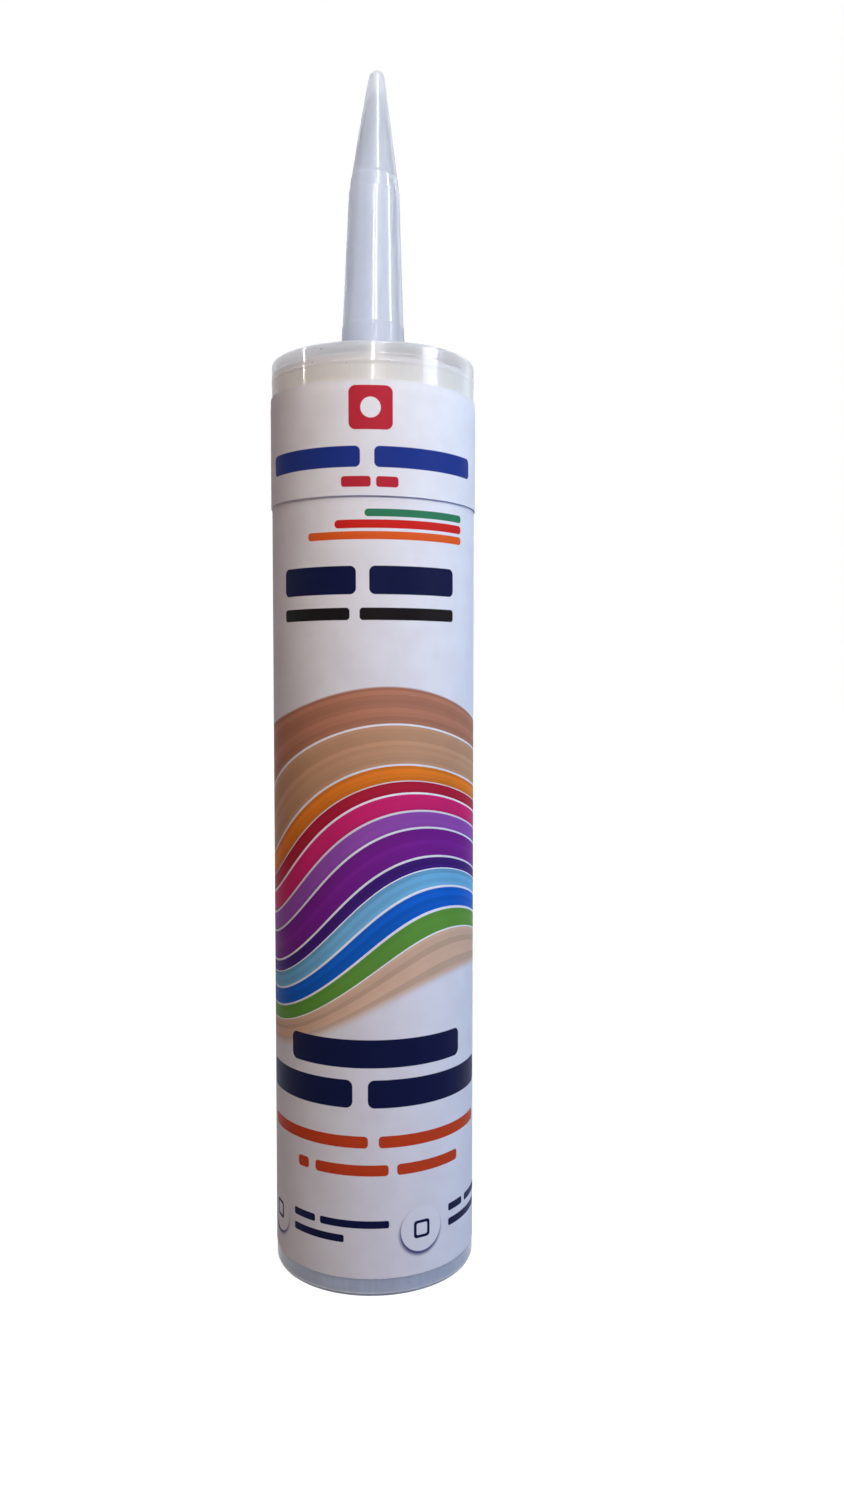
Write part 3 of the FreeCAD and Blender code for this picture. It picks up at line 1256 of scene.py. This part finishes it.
@dataclass(frozen=True)
class Wave:
    """A wave round the tube: its height, its swings to a turn, and how far on it starts, in radians."""

    height: float
    swings: float = 1.0
    start: float = 0.0

    def at(self, angle: Signal, shift: object = 0.0) -> Signal:
        """The wave at an angle, moved on by the shift."""
        return (angle * self.swings + self.start + shift).sin() * self.height


@dataclass(frozen=True)
class WrapPaper(Paper):
    """Paper of the wrap label: stripes, rows of bars, a picture of flowing ribbons and two round marks."""

    bars: tuple[Bar, ...] = (
        *row(180.0, 181.7, Ink.GREEN, 0.8, (-2.0, 24.0)),
        *row(177.4, 179.3, Ink.SCARLET, 0.9, (-9.0, 24.0)),
        *row(174.9, 176.7, Ink.ORANGE, 0.8, (-16.0, 24.0)),
        *row(162.6, 169.0, Ink.NAVY, 1.4, (-24.2, -4.0), (-1.0, 20.8)),
        *row(156.8, 159.6, Ink.BLACK, 0.8, (-24.2, -5.5), (-3.2, 20.8)),
        *row(54.0, 60.6, Ink.NAVY, 1.6, (-22.3, 23.3)),
        *row(44.6, 51.2, Ink.NAVY, 1.6, (-34.0, -5.2), (-1.6, 34.0)),
        *row(35.2, 38.0, Ink.RUST, 0.9, (-32.5, -1.6), (0.9, 32.5)),
        *row(28.6, 31.2, Ink.RUST, 0.8, (-20.2, -16.8), (-14.8, 3.2), (5.2, 22.6)),
        *row(16.2, 18.0, Ink.NAVY, 0.5, (-21.9, -15.0), (-13.6, 3.3)),
        *row(12.6, 14.4, Ink.NAVY, 0.5, (-21.9, -7.4)),
        *row(16.8, 18.6, Ink.NAVY, 0.5, (19.4, 25.0), (26.4, 38.0)),
        *row(13.2, 15.0, Ink.NAVY, 0.5, (19.4, 34.0)),
    )
    marks: tuple[Span, ...] = ((-29.6, 14.6), (11.4, 14.9))
    mark_radius: float = 5.3
    mark_shade: Colour = srgb(58, 52, 118)
    shade_share: float = 0.92
    shade_left: float = 0.2
    shade_down: float = 0.7
    shade_grown: float = 0.2
    shade_blur: float = 0.9
    square_half: float = 2.1
    square_rounding: float = 0.8
    hollow_half: float = 1.4
    hollow_rounding: float = 0.4
    picture_bottom: float = 66.0
    bottom_waves: tuple[Wave, ...] = (Wave(8.5), Wave(2.2, 2.0, 0.6))
    picture_top: float = 135.0
    top_waves: tuple[Wave, ...] = (Wave(4.5, 1.0, math.pi / 2), Wave(2.6, 2.0, 1.2))
    fade_in: Span = (-0.012, 0.03)
    fade_out: Span = (0.992, 1.0)
    sway: Wave = Wave(0.085, 1.0, 0.3)
    cross_sway: Wave = Wave(0.05, 2.0)
    cross_shift: float = 3.0
    stripes: float = 64.0
    stripe_tone: Span = (0.86, 1.12)
    drift_round: float = 2.0
    drift_across: float = 3.0
    drift_tone: Span = (0.85, 1.15)
    ribbon_gap: float = 0.007
    ribbon_stops: tuple[tuple[float, Colour], ...] = (
        (0.0, srgb(214, 178, 152)),
        (0.105, srgb(96, 150, 62)),
        (0.165, srgb(22, 98, 200)),
        (0.235, srgb(112, 176, 216)),
        (0.300, srgb(66, 34, 118)),
        (0.345, srgb(120, 36, 142)),
        (0.455, srgb(146, 78, 172)),
        (0.520, srgb(208, 40, 110)),
        (0.590, srgb(184, 36, 62)),
        (0.640, srgb(226, 124, 40)),
        (0.705, srgb(196, 150, 118)),
        (0.860, srgb(180, 122, 98)),
    )

    def ribbons(self, shader: LabelShader, colour: object) -> object:
        """Adds the picture: ribbons that rise to the right, with thin white gaps and finer stripes of shade.

        Args:
            shader: the material that is being built.
            colour: colour of the paper.

        Returns:
            The colour with the picture.
        """
        angle = shader.angle
        bottom = sum((wave.at(angle) for wave in self.bottom_waves), self.picture_bottom)
        top = sum((wave.at(angle) for wave in self.top_waves), self.picture_top)
        share = (shader.up - bottom) / (top - bottom)
        room = share * (1.0 - share) * 4.0
        flow = share - room * (self.sway.at(angle) + self.cross_sway.at(angle, share * self.cross_shift))
        inputs = {"W": (flow * self.stripes).whole()}
        stripe = shader.signal(shader.add("ShaderNodeTexWhiteNoise", inputs, noise_dimensions="1D"))
        x, y = angle.sin() * self.drift_round, angle.cos() * self.drift_round
        drift = shader.noise(shader.joined(x, y, flow * self.drift_across), 1.0)
        stops = self.ribbon_stops[:1]
        for place, ink in self.ribbon_stops[1:]:
            stops += ((place - self.ribbon_gap, self.colour), (place, ink))
        tone = stripe.spread(*self.stripe_tone) * drift.spread(*self.drift_tone)
        ribbon = shader.scaled(shader.ramp(flow, stops), tone)
        inside = share.step(*self.fade_in) * (1.0 - share.step(*self.fade_out))
        return shader.blend(inside, colour, ribbon)

    def badges(self, shader: LabelShader, colour: object) -> object:
        """Adds the two round marks, each a white disc with a shaded lower edge and a small square.

        Args:
            shader: the material that is being built.
            colour: colour of the print without them.

        Returns:
            The colour with the marks.
        """
        for along, up in self.marks:
            middle = (along - self.shade_left, up - self.shade_down)
            shade = shader.disc(*middle, self.mark_radius + self.shade_grown, self.shade_blur)
            colour = shader.blend(shade * self.shade_share, colour, self.mark_shade)
            colour = shader.blend(shader.disc(along, up, self.mark_radius), colour, self.colour)
            square = shader.bar(Bar.square(along, up, self.square_half, Ink.NAVY, self.square_rounding))
            hollow = shader.bar(Bar.square(along, up, self.hollow_half, Ink.NAVY, self.hollow_rounding))
            colour = shader.blend(square * (1.0 - hollow), colour, Ink.NAVY.value)
        return colour


# Pieces


@dataclass
class Barrel:
    """The tube, bevelled at its rear rim and slightly swollen under the weld."""

    wall: float = 1.2
    bevel_height: float = 0.7
    bevel_depth: float = 0.3
    bevel_rounding: float = 0.12
    inner_chamfer: float = 0.3
    inner_rounding: float = 0.1
    collar_height: float = 1.9
    collar_rise: float = 0.06
    collar_slope: float = 0.8
    collar_rounding: float = 0.4
    ripple: Ripple = Ripple(0.4, 1.4, 0.05, count=5.0)
    segments: int = 288
    finish: MouldedPlastic = BarrelPlastic(
        name="barrel_plastic",
        # Greyer colours below: painted shade of the empty bore behind the wall.
        colour=srgb(184, 192, 211),
        cloud=srgb(174, 182, 202),
        clarity=0.3,
        roughness=0.42,
        gloss=0.35,
        gloss_roughness=0.05,
        scatter=0.5,
        scatter_depth=3.0,
        streaks=0.5,
    )

    def build(self) -> None:
        """Builds the barrel and puts it on its body."""
        room = Envelope.of("barrel")
        outer = room.radius - self.collar_rise
        bore = outer - self.wall
        collar = room.top - self.collar_height
        corners = [
            Corner(bore + self.inner_chamfer, 0, self.inner_rounding),
            Corner(outer - self.bevel_depth, 0, self.bevel_rounding),
            Corner(outer, self.bevel_height, self.bevel_rounding),
            Corner(outer, collar, self.collar_rounding),
            Corner(room.radius, collar + self.collar_slope, self.collar_rounding),
            Corner(room.radius, room.top),
            Corner(bore, room.top),
            Corner(bore, self.inner_chamfer, self.inner_rounding),
        ]
        points, ripple = eased(corners, closed=True), self.ripple.above(collar)
        piece = turned("barrel_shell", points, self.finish.material(), self.segments, ripple)
        placed(piece, Body.TUBE, "barrel_plastic", "barrel")


@dataclass
class NozzleCap:
    """End cap and nozzle, one moulding. The nozzle leans a little, with rings where its taper changes."""

    shoulder: float = 219.0
    tube_radius: float = 24.5
    lean: float = 1.05
    lean_start: float = 2.0
    lip_height: float = 0.4
    lip_rise: float = 0.04
    lip_slope: float = 0.25
    corner_rounding: float = 0.45
    disc: float = 1.6
    ring_height: float = 4.1
    ring_inner: float = 20.4
    spigot_radius: float = 23.25
    spigot_wall: float = 1.2
    rim_height: float = 3.3
    foot_radius: float = 7.95
    foot_rounding: float = 0.6
    foot_top: Span = (7.52, 228.8)
    shank_top: Span = (6.12, 260.8)
    throat_top: Span = (5.68, 264.0)
    ring_depth: float = 0.1
    ring_overhang: float = 0.03
    cone_bulge: float = 0.08
    cone_steps: int = 16
    tip_radius: float = 1.9
    tip_steps: int = 12
    bore_radius: float = 6.45
    throat_bore: float = 4.48
    bore_end: Span = (1.0, 284.0)
    ripple: Ripple = Ripple(0.25, 0.9, 0.08, count=7.0)
    segments: int = 256
    finish: MouldedPlastic = CapPlastic(
        name="cap_plastic",
        colour=srgb(226, 230, 244),
        cloud=srgb(222, 227, 241),
        clarity=0.75,
        roughness=0.42,
        gloss=0.5,
        gloss_roughness=0.02,
        scatter=1.0,
        scatter_depth=12.0,
        streaks=0.35,
        specks=0.0,
        satin_from=219.3,
        satin_to=228.75,
        ridges=1.0,
    )

    @property
    def weld(self) -> float:
        """Height of the cap's lower edge, where it is welded on."""
        return self.shoulder - self.rim_height

    def cone(self, top: float) -> Profile:
        """Points down the outside of the tip and the cone to the upper ring, bulged a little.

        Args:
            top: height of the nozzle's end.

        Returns:
            The points from the end on the axis to the cone's foot.
        """
        foot = Vector((self.throat_top[0] - self.ring_depth, self.throat_top[1] + self.ring_depth))
        rise = top - self.tip_radius - foot.y
        taper = math.atan2(foot.x, rise) - math.asin(self.tip_radius / math.hypot(foot.x, rise))
        middle = Vector((0.0, top - self.tip_radius))
        points = []
        for step in range(self.tip_steps + 1):
            angle = math.pi / 2 + (taper - math.pi / 2) * step / self.tip_steps
            points.append(middle + Vector((math.cos(angle), math.sin(angle))) * self.tip_radius)
        start = points[-1]
        chord = foot - start
        outward = Vector((-chord.y, chord.x)).normalized()
        for step in range(1, self.cone_steps + 1):
            share = step / self.cone_steps
            points.append(start + chord * share + outward * (4 * self.cone_bulge * share * (1 - share)))
        return [(point.x, point.y) for point in points]

    def outside(self) -> list[Corner]:
        """Corners of the outside below the cone, and on to the cap's underside and the closed bore.

        Returns:
            The corners in order.
        """
        lip = self.weld + self.lip_height
        underside = self.shoulder - self.disc
        ring_bottom = self.shoulder - self.ring_height
        neck = self.spigot_radius - self.spigot_wall
        spigot_bottom = Envelope.of("nozzle_cap").bottom
        ring = self.ring_depth
        return [
            Corner(self.throat_top[0] - ring, self.throat_top[1] + ring, 0.02),
            Corner(self.throat_top[0] + self.ring_overhang, self.throat_top[1], 0.05),
            Corner(self.shank_top[0] - ring, self.shank_top[1] + ring, 0.02),
            Corner(self.shank_top[0], self.shank_top[1], 0.03),
            Corner(self.foot_top[0] - ring, self.foot_top[1] + ring, 0.02),
            Corner(self.foot_top[0], self.foot_top[1], 0.03),
            Corner(self.foot_radius, self.shoulder, self.foot_rounding),
            Corner(self.tube_radius, self.shoulder, self.corner_rounding),
            Corner(self.tube_radius, lip + self.lip_slope, 0.4),
            Corner(self.tube_radius + self.lip_rise, lip, 0.2),
            Corner(self.tube_radius + self.lip_rise, self.weld),
            Corner(self.spigot_radius, self.weld),
            Corner(self.spigot_radius, spigot_bottom, 0.2),
            Corner(neck, spigot_bottom, 0.2),
            Corner(neck, ring_bottom, 0.05),
            Corner(self.ring_inner, ring_bottom, 0.3),
            Corner(self.ring_inner, underside, 0.3),
            Corner(self.bore_radius, underside, 0.2),
            Corner(self.throat_bore, self.throat_top[1], 0.5),
            Corner(self.bore_end[0], self.bore_end[1], 0.4),
            Corner(0.0, self.bore_end[1]),
        ]

    def build(self) -> None:
        """Builds the cap with its nozzle and puts it on its body."""
        top = Envelope.of("nozzle_cap").top
        piece = turned(
            "cap_and_nozzle",
            self.cone(top)[:-1] + eased(self.outside()),
            self.finish.material(),
            self.segments,
            self.ripple.above(self.weld),
            Lean=self.lean,
            Lean_From=self.shoulder + self.lean_start,
            Lean_To=top,
        )
        placed(piece, Body.TUBE, "cap_plastic", "nozzle_cap")

    def dress_seal(self) -> None:
        """Gives the foil seal under the nozzle its finish."""
        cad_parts["inner_seal"].material_slots[0].material = Foil().material()
        log.info("inner_seal: foil, on %s", Body.TUBE.value)


@dataclass
class Filling:
    """Paste from the plunger to the cap, with an uneven edge where it meets the cap's ring."""

    side: float = 23.25
    neck: float = 22.0
    crown: float = 20.35
    nose_radius: float = 19.2
    front: float = 41.05
    edge: float = 39.05
    spigot_bottom: float = 213.55
    ring_bottom: float = 214.85
    seal_radius: float = 8.1
    seal_drop: float = 0.1
    ripple: Ripple = Ripple(0.0, 0.7, down=0.7, count=3.0)
    keep: float = 0.0187
    segments: int = 192
    finish: Paste = Paste()

    def build(self) -> None:
        """Builds the paste and puts it on the tube."""
        top = Envelope.of("filling").top
        corners = [
            Corner(0.0, self.front),
            Corner(self.nose_radius, self.front, 0.6),
            Corner(self.side, self.edge, 0.05),
            Corner(self.side, self.spigot_bottom, 0.15),
            Corner(self.neck, self.spigot_bottom, 0.1),
            Corner(self.neck, self.ring_bottom, 0.1),
            Corner(self.crown, self.ring_bottom, 0.2),
            Corner(self.crown, top, 0.3),
            Corner(self.seal_radius, top, 0.04),
            Corner(self.seal_radius, top - self.seal_drop, 0.04),
            Corner(0.0, top - self.seal_drop),
        ]
        ripple = self.ripple.above(self.ring_bottom)
        piece = turned("paste", eased(corners), self.finish.material(), self.segments, ripple)
        placed(piece, Body.TUBE, "paste", "filling")
        top * MM
        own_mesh(piece)


@dataclass
class Plunger:
    """Cup with two sealing lips and a waist, stiffened by a hub and ribs under its web."""

    wall: float = 1.4
    web: float = 1.6
    waist_depth: float = 0.7
    lip_height: float = 2.6
    lip_taper: float = 1.0
    nose_radius: float = 19.2
    nose_height: float = 2.0
    rib_count: int = 6
    rib_thickness: float = 1.1
    rib_height: float = 6.0
    rib_recess: float = 0.15
    rib_rounding: float = 0.25
    rounding_steps: int = 3
    hub_radius: float = 4.0
    hub_segments: int = 96
    overlap: float = 0.4
    segments: int = 192
    finish: MouldedPlastic = MouldedPlastic(
        name="plunger_plastic",
        colour=srgb(222, 224, 228),
        cloud=srgb(212, 215, 221),
        clarity=0.0,
        roughness=0.36,
        gloss=0.25,
        scatter=0.2,
    )

    def cup(self, room: Envelope) -> list[Corner]:
        """Corners of the cup's half-section, from the web's underside round its wall to the nose.

        Args:
            room: room that the plunger takes up.

        Returns:
            The corners in order.
        """
        waist = room.radius - self.waist_depth
        inner = waist - self.wall
        edge = room.top - self.nose_height
        return [
            Corner(0.0, room.top - self.web),
            Corner(self.nose_radius - self.wall, room.top - self.web, 0.5),
            Corner(inner, edge - self.web, 0.5),
            Corner(inner, room.bottom, 0.25),
            Corner(room.radius, room.bottom, 0.3),
            Corner(room.radius, room.bottom + self.lip_height, 0.25),
            Corner(waist, room.bottom + self.lip_height + self.lip_taper, 0.4),
            Corner(waist, edge - self.lip_height - self.lip_taper, 0.4),
            Corner(room.radius, edge - self.lip_height, 0.25),
            Corner(room.radius, edge, 0.25),
            Corner(self.nose_radius, room.top, 0.6),
            Corner(0.0, room.top),
        ]

    def hub(self, web: float) -> list[Corner]:
        """Corners of the hub's half-section.

        Args:
            web: height of the web that it hangs from.

        Returns:
            The corners in order.
        """
        return [
            Corner(0.0, web - self.rib_height),
            Corner(self.hub_radius, web - self.rib_height, 0.3),
            Corner(self.hub_radius, web + self.overlap),
            Corner(0.0, web + self.overlap),
        ]

    def rib(self, inner: float, web: float) -> bpy.types.Mesh:
        """One rib from the hub to the wall, with its free edge rounded.

        Args:
            inner: radius that it reaches.
            web: height of the web that it hangs from.

        Returns:
            Its mesh, in metres.
        """
        work = bmesh.new()
        bmesh.ops.create_cube(work, size=1.0)
        start = self.hub_radius - self.overlap
        low, high = web - self.rib_height + self.rib_recess, web + self.overlap
        size = Vector((inner - start, self.rib_thickness, high - low)) * MM
        middle = Vector(((inner + start) / 2, 0.0, (high + low) / 2)) * MM
        for vertex in work.verts:
            vertex.co = Vector(a * b for a, b in zip(vertex.co, size)) + middle
        free = [e for e in work.edges if all(v.co.z < middle.z for v in e.verts)]
        offset = self.rib_rounding * MM
        bmesh.ops.bevel(
            work, geom=free, offset=offset, segments=self.rounding_steps, profile=0.5, affect="EDGES"
        )
        mesh = bpy.data.meshes.new("rib")
        work.to_mesh(mesh)
        work.free()
        return mesh

    def build(self) -> None:
        """Builds the plunger and puts it on its body."""
        room = Envelope.of("plunger")
        web = room.top - self.web
        material = self.finish.material()
        cup = turned("plunger_cup", eased(self.cup(room)), material, self.segments)
        hub = turned("plunger_hub", eased(self.hub(web)), material, self.hub_segments)
        rib = self.rib(room.radius - self.waist_depth - self.wall / 2, web)
        ribs = shaped("plunger_ribs", rib, Trees.spokes, material, {"Count": self.rib_count})
        piece = merged("plunger_piston", [cup, hub, ribs], material)
        placed(piece, Body.PLUNGER, "plunger_plastic", "plunger")


@dataclass
class Label:
    """A printed label wrapped round the tube, with its ends lapped at the back."""

    sheet: str
    slot: str
    node: str
    finish: Paper
    inner: float
    lap: float
    columns: int
    rows: int
    lap_gap: float = 0.004

    def own_sizes(self, room: Envelope) -> dict[str, float]:
        """Values of the wrapping tree's inputs that are this label's own."""
        return {"Bottom": room.bottom * MM, "Top": room.top * MM}

    def build(self) -> None:
        """Builds the label and puts it on the tube."""
        room = Envelope.of(self.node)
        thickness = room.radius - self.inner
        sizes = {
            "Columns": self.columns,
            "Rows": self.rows,
            "Radius": (self.inner + thickness / 2) * MM,
            "Lap Angle": self.lap / room.radius,
            "Lap Rise": (thickness + self.lap_gap) * MM,
            **self.own_sizes(room),
        }
        start = bpy.data.meshes.new("label_start")
        piece = shaped(self.sheet, start, Trees.wrapping, self.finish.material(), sizes, thickness * MM)
        placed(piece, Body.TUBE, self.slot, self.node)


@dataclass
class WrapLabel(Label):
    """The large label, with a roughly cut lower edge."""

    sheet: str = "wrap_sheet"
    slot: str = "wrap_paper"
    node: str = "wrap_label"
    finish: Paper = WrapPaper(name="wrap_paper", radius=24.62)
    inner: float = 24.505
    lap: float = 7.0
    columns: int = 640
    rows: int = 26
    cut: float = 0.45

    def own_sizes(self, room: Envelope) -> dict[str, float]:
        """Values of the wrapping tree's inputs that are this label's own."""
        return {**super().own_sizes(room), "Cut Roughness": self.cut * MM}


@dataclass
class BandLabel(Label):
    """The second label, stuck askew over the top of the wrap and standing off a little at one corner."""

    sheet: str = "band_sheet"
    slot: str = "band_paper"
    node: str = "band_label"
    skew: float = math.tan(math.radians(0.6))
    finish: Paper = BandPaper(name="band_paper", radius=24.87, skew=skew)
    inner: float = 24.65
    bottom: float = 184.6
    top: float = 210.25
    lap: float = 9.0
    seam_deg: float = 206.5
    under_lap: float = 7.0
    wrap_thickness: float = 0.12
    wrap_top: float = 208.6
    sink: float = 0.05
    lift: float = 0.3
    lift_deg: float = 84.0
    columns: int = 384
    rows: int = 40

    def own_sizes(self, room: Envelope) -> dict[str, float]:
        """Values of the wrapping tree's inputs that are this label's own.

        Args:
            room: room that the label takes up.

        Returns:
            The values by the names of the inputs.
        """
        return {
            "Bottom": self.bottom * MM,
            "Top": self.top * MM,
            "Seam Angle": math.radians(self.seam_deg) - TURN,
            "Under Lap Half Angle": self.under_lap / 2 / room.radius,
            "Under Lap Rise": self.wrap_thickness * MM,
            "Skew": self.skew,
            "Sink Height": self.wrap_top * MM,
            "Sink Depth": self.sink * MM,
            "Lift": self.lift * MM,
            "Lift Angle": math.radians(self.lift_deg),
        }


# Studio


def facing(direction: Vector) -> Euler:
    """Turn of a lamp or a camera that looks that way."""
    return direction.to_track_quat("-Z", "Y").to_euler()


@dataclass(frozen=True)
class Lamp:
    """A rectangular lamp that faces the tube at the height of its aim, in metres.

    Its angle is in degrees from the front and its rise above the level. It lights the tube and isn't seen in
    glossy surfaces.
    """

    name: str
    angle: float
    rise: float
    distance: float
    width: float
    height: float
    watts: float
    colour: Colour
    aim: float = 0.17
    only_shine: bool = False

    def build(self) -> None:
        """Makes the lamp."""
        data = bpy.data.lights.new(self.name, "AREA")
        data.shape = "RECTANGLE"
        data.size = self.width
        data.size_y = self.height
        data.energy = self.watts
        data.color = self.colour
        lamp = added(self.name, data)
        angle, rise = math.radians(self.angle), math.radians(self.rise)
        away = Vector((math.sin(angle) * math.cos(rise), -math.cos(angle) * math.cos(rise), math.sin(rise)))
        lamp.location = Vector((0.0, 0.0, self.aim)) + away * self.distance
        lamp.rotation_euler = facing(-away)
        lamp.visible_camera = False
        lamp.visible_diffuse = not self.only_shine
        lamp.visible_glossy = self.only_shine
        lamp.visible_transmission = False


@dataclass(frozen=True)
class Shine(Lamp):
    """A lamp that is seen in glossy surfaces and lights nothing else."""

    only_shine: bool = True


@dataclass
class Studio:
    """White floor and surroundings, lamps and the camera."""

    lamps: tuple[Lamp, ...] = (
        Lamp("key_right", 85, 40, 0.6, 0.5, 0.6, 2.6, (0.50, 0.79, 1.0), 0.24),
        Lamp("key_front", 20, 52, 0.55, 0.35, 0.35, 5.25, (0.98, 0.975, 0.84), 0.26),
        Lamp("fill_left", -45, 35, 0.8, 0.5, 0.6, 1.15, (1.0, 0.52, 0.48), 0.24),
        Lamp("fill_low", 50, 8, 0.6, 0.5, 0.3, 0.7, (0.0, 0.10, 1.0), 0.06),
        Lamp("back", 180, 35, 0.7, 0.5, 0.5, 5.0, WHITE, 0.2),
        Shine("strip_front_left", 0, 25, 1.1, 0.07, 0.40, 3.0, (1.0, 0.96, 0.92)),
        Shine("strip_front_right", 11, 28.2, 1.1, 0.07, 0.285, 2.2, (1.0, 0.97, 0.94)),
        Shine("strip_front_high", 20, 47, 1.1, 0.07, 0.44, 6.2, (0.95, 0.97, 1.0)),
        Shine("strip_front_low", 4, 17, 1.1, 0.32, 0.20, 1.1, (1.0, 0.98, 0.94)),
        Shine("strip_right", 66, 14, 1.1, 0.36, 0.22, 4.2, (0.90, 0.95, 1.0)),
        Shine("strip_right_high", 70, 30, 1.1, 0.12, 0.30, 2.8, (0.88, 0.94, 1.0)),
        Shine("strip_far_right", 130, 24, 1.1, 0.30, 0.50, 0.9, (0.80, 0.90, 1.0)),
        Shine("strip_left", -82, 15, 1.1, 0.05, 0.20, 1.2, (1.0, 0.95, 0.88)),
    )
    world_light: Colour = (0.004, 0.004, 0.01)
    floor_half: float = 6.0
    floor_colour: Colour = (0.16, 0.16, 0.165)
    floor_roughness: float = 0.8
    floor_specular: float = 0.2
    floor_glow: Colour = (0.9, 0.9, 0.9)
    glow_span: Span = (0.15, 0.7)
    camera_place: Triple = (0.0, -0.28756, 0.14135)
    camera_turn_deg: float = 2.375
    camera_dip_deg: float = 3.03
    camera_sees: Span = (0.01, 50.0)
    lens: float = 27.83
    sensor: float = 36.0

    def build_camera(self) -> None:
        """Makes the camera at the photograph's place."""
        data = bpy.data.cameras.new("camera")
        data.lens = self.lens
        data.sensor_width = self.sensor
        data.clip_start, data.clip_end = self.camera_sees
        camera = added("camera", data)
        camera.location = self.camera_place
        turn, dip = math.radians(self.camera_turn_deg), math.radians(self.camera_dip_deg)
        ahead = Vector((math.sin(turn) * math.cos(dip), math.cos(turn) * math.cos(dip), -math.sin(dip)))
        camera.rotation_euler = facing(ahead)
        bpy.context.scene.camera = camera

    @staticmethod
    def seen(nodes: Nodes) -> Signal:
        """1 for a ray from the camera, or one that a shiny or clear surface sends on.

        Args:
            nodes: the tree that asks.

        Returns:
            The mask.
        """
        path = nodes.add("ShaderNodeLightPath")
        kinds = ("Camera", "Glossy", "Transmission")
        return reduce(Signal.at_least, (Signal(nodes, path.outputs[f"Is {kind} Ray"]) for kind in kinds))

    def build_world(self) -> None:
        """Makes the surroundings: white where they are seen, and a soft level light on the tube."""
        world = bpy.data.worlds.new("surroundings")
        world.use_nodes = True
        bpy.context.scene.world = world
        nodes = Nodes(world.node_tree)
        shown = nodes.blend(self.seen(nodes), self.world_light, WHITE)
        nodes.feed(world.node_tree.nodes["Background"].inputs["Color"], shown)

    def build_floor(self) -> None:
        """Makes the floor: white where it is seen, with the tube's shadow, and clear from below."""
        mesh = bpy.data.meshes.new("floor")
        half = self.floor_half
        corners = [(-half, -half, 0), (half, -half, 0), (half, half, 0), (-half, half, 0)]
        mesh.from_pydata(corners, [], [(0, 1, 2, 3)])
        floor = added("floor", mesh)
        shader = Shader("floor_white")
        away = shader.signal(shader.vector_math("LENGTH", shader.point), 1).step(*self.glow_span)
        glow = shader.blend(away, self.floor_glow, WHITE)
        shader.set(
            Base_Color=self.floor_colour,
            Roughness=self.floor_roughness,
            Specular_IOR_Level=self.floor_specular,
            Emission_Strength=1.0,
            Emission_Color=shader.blend(self.seen(shader), BLACK, glow),
        )
        under = shader.add("ShaderNodeNewGeometry").outputs["Backfacing"]
        clear = shader.add("ShaderNodeBsdfTransparent").outputs[0]
        shown = shader.add("ShaderNodeMixShader", {0: under, 1: shader.surface.outputs[0], 2: clear})
        shader.feed(shader.tree.nodes["Material Output"].inputs["Surface"], shown.outputs[0])
        mesh.materials.append(shader.material)

    def build(self) -> None:
        """Makes the whole studio."""
        self.build_camera()
        self.build_world()
        self.build_floor()
        for lamp in self.lamps:
            lamp.build()
        bpy.context.scene.view_settings.view_transform = "Standard"
        log.info("studio: %d lamps", len(self.lamps))


def main() -> None:
    """Builds every piece in order and then the studio."""
    logging.basicConfig(level=logging.INFO, format="%(name)s: %(message)s")
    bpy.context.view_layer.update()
    Trees.build()
    cap = NozzleCap()
    Barrel().build()
    cap.build()
    cap.dress_seal()
    Filling().build()
    Plunger().build()
    WrapLabel().build()
    BandLabel().build()
    Studio().build()


if __name__ == "__main__":
    main()
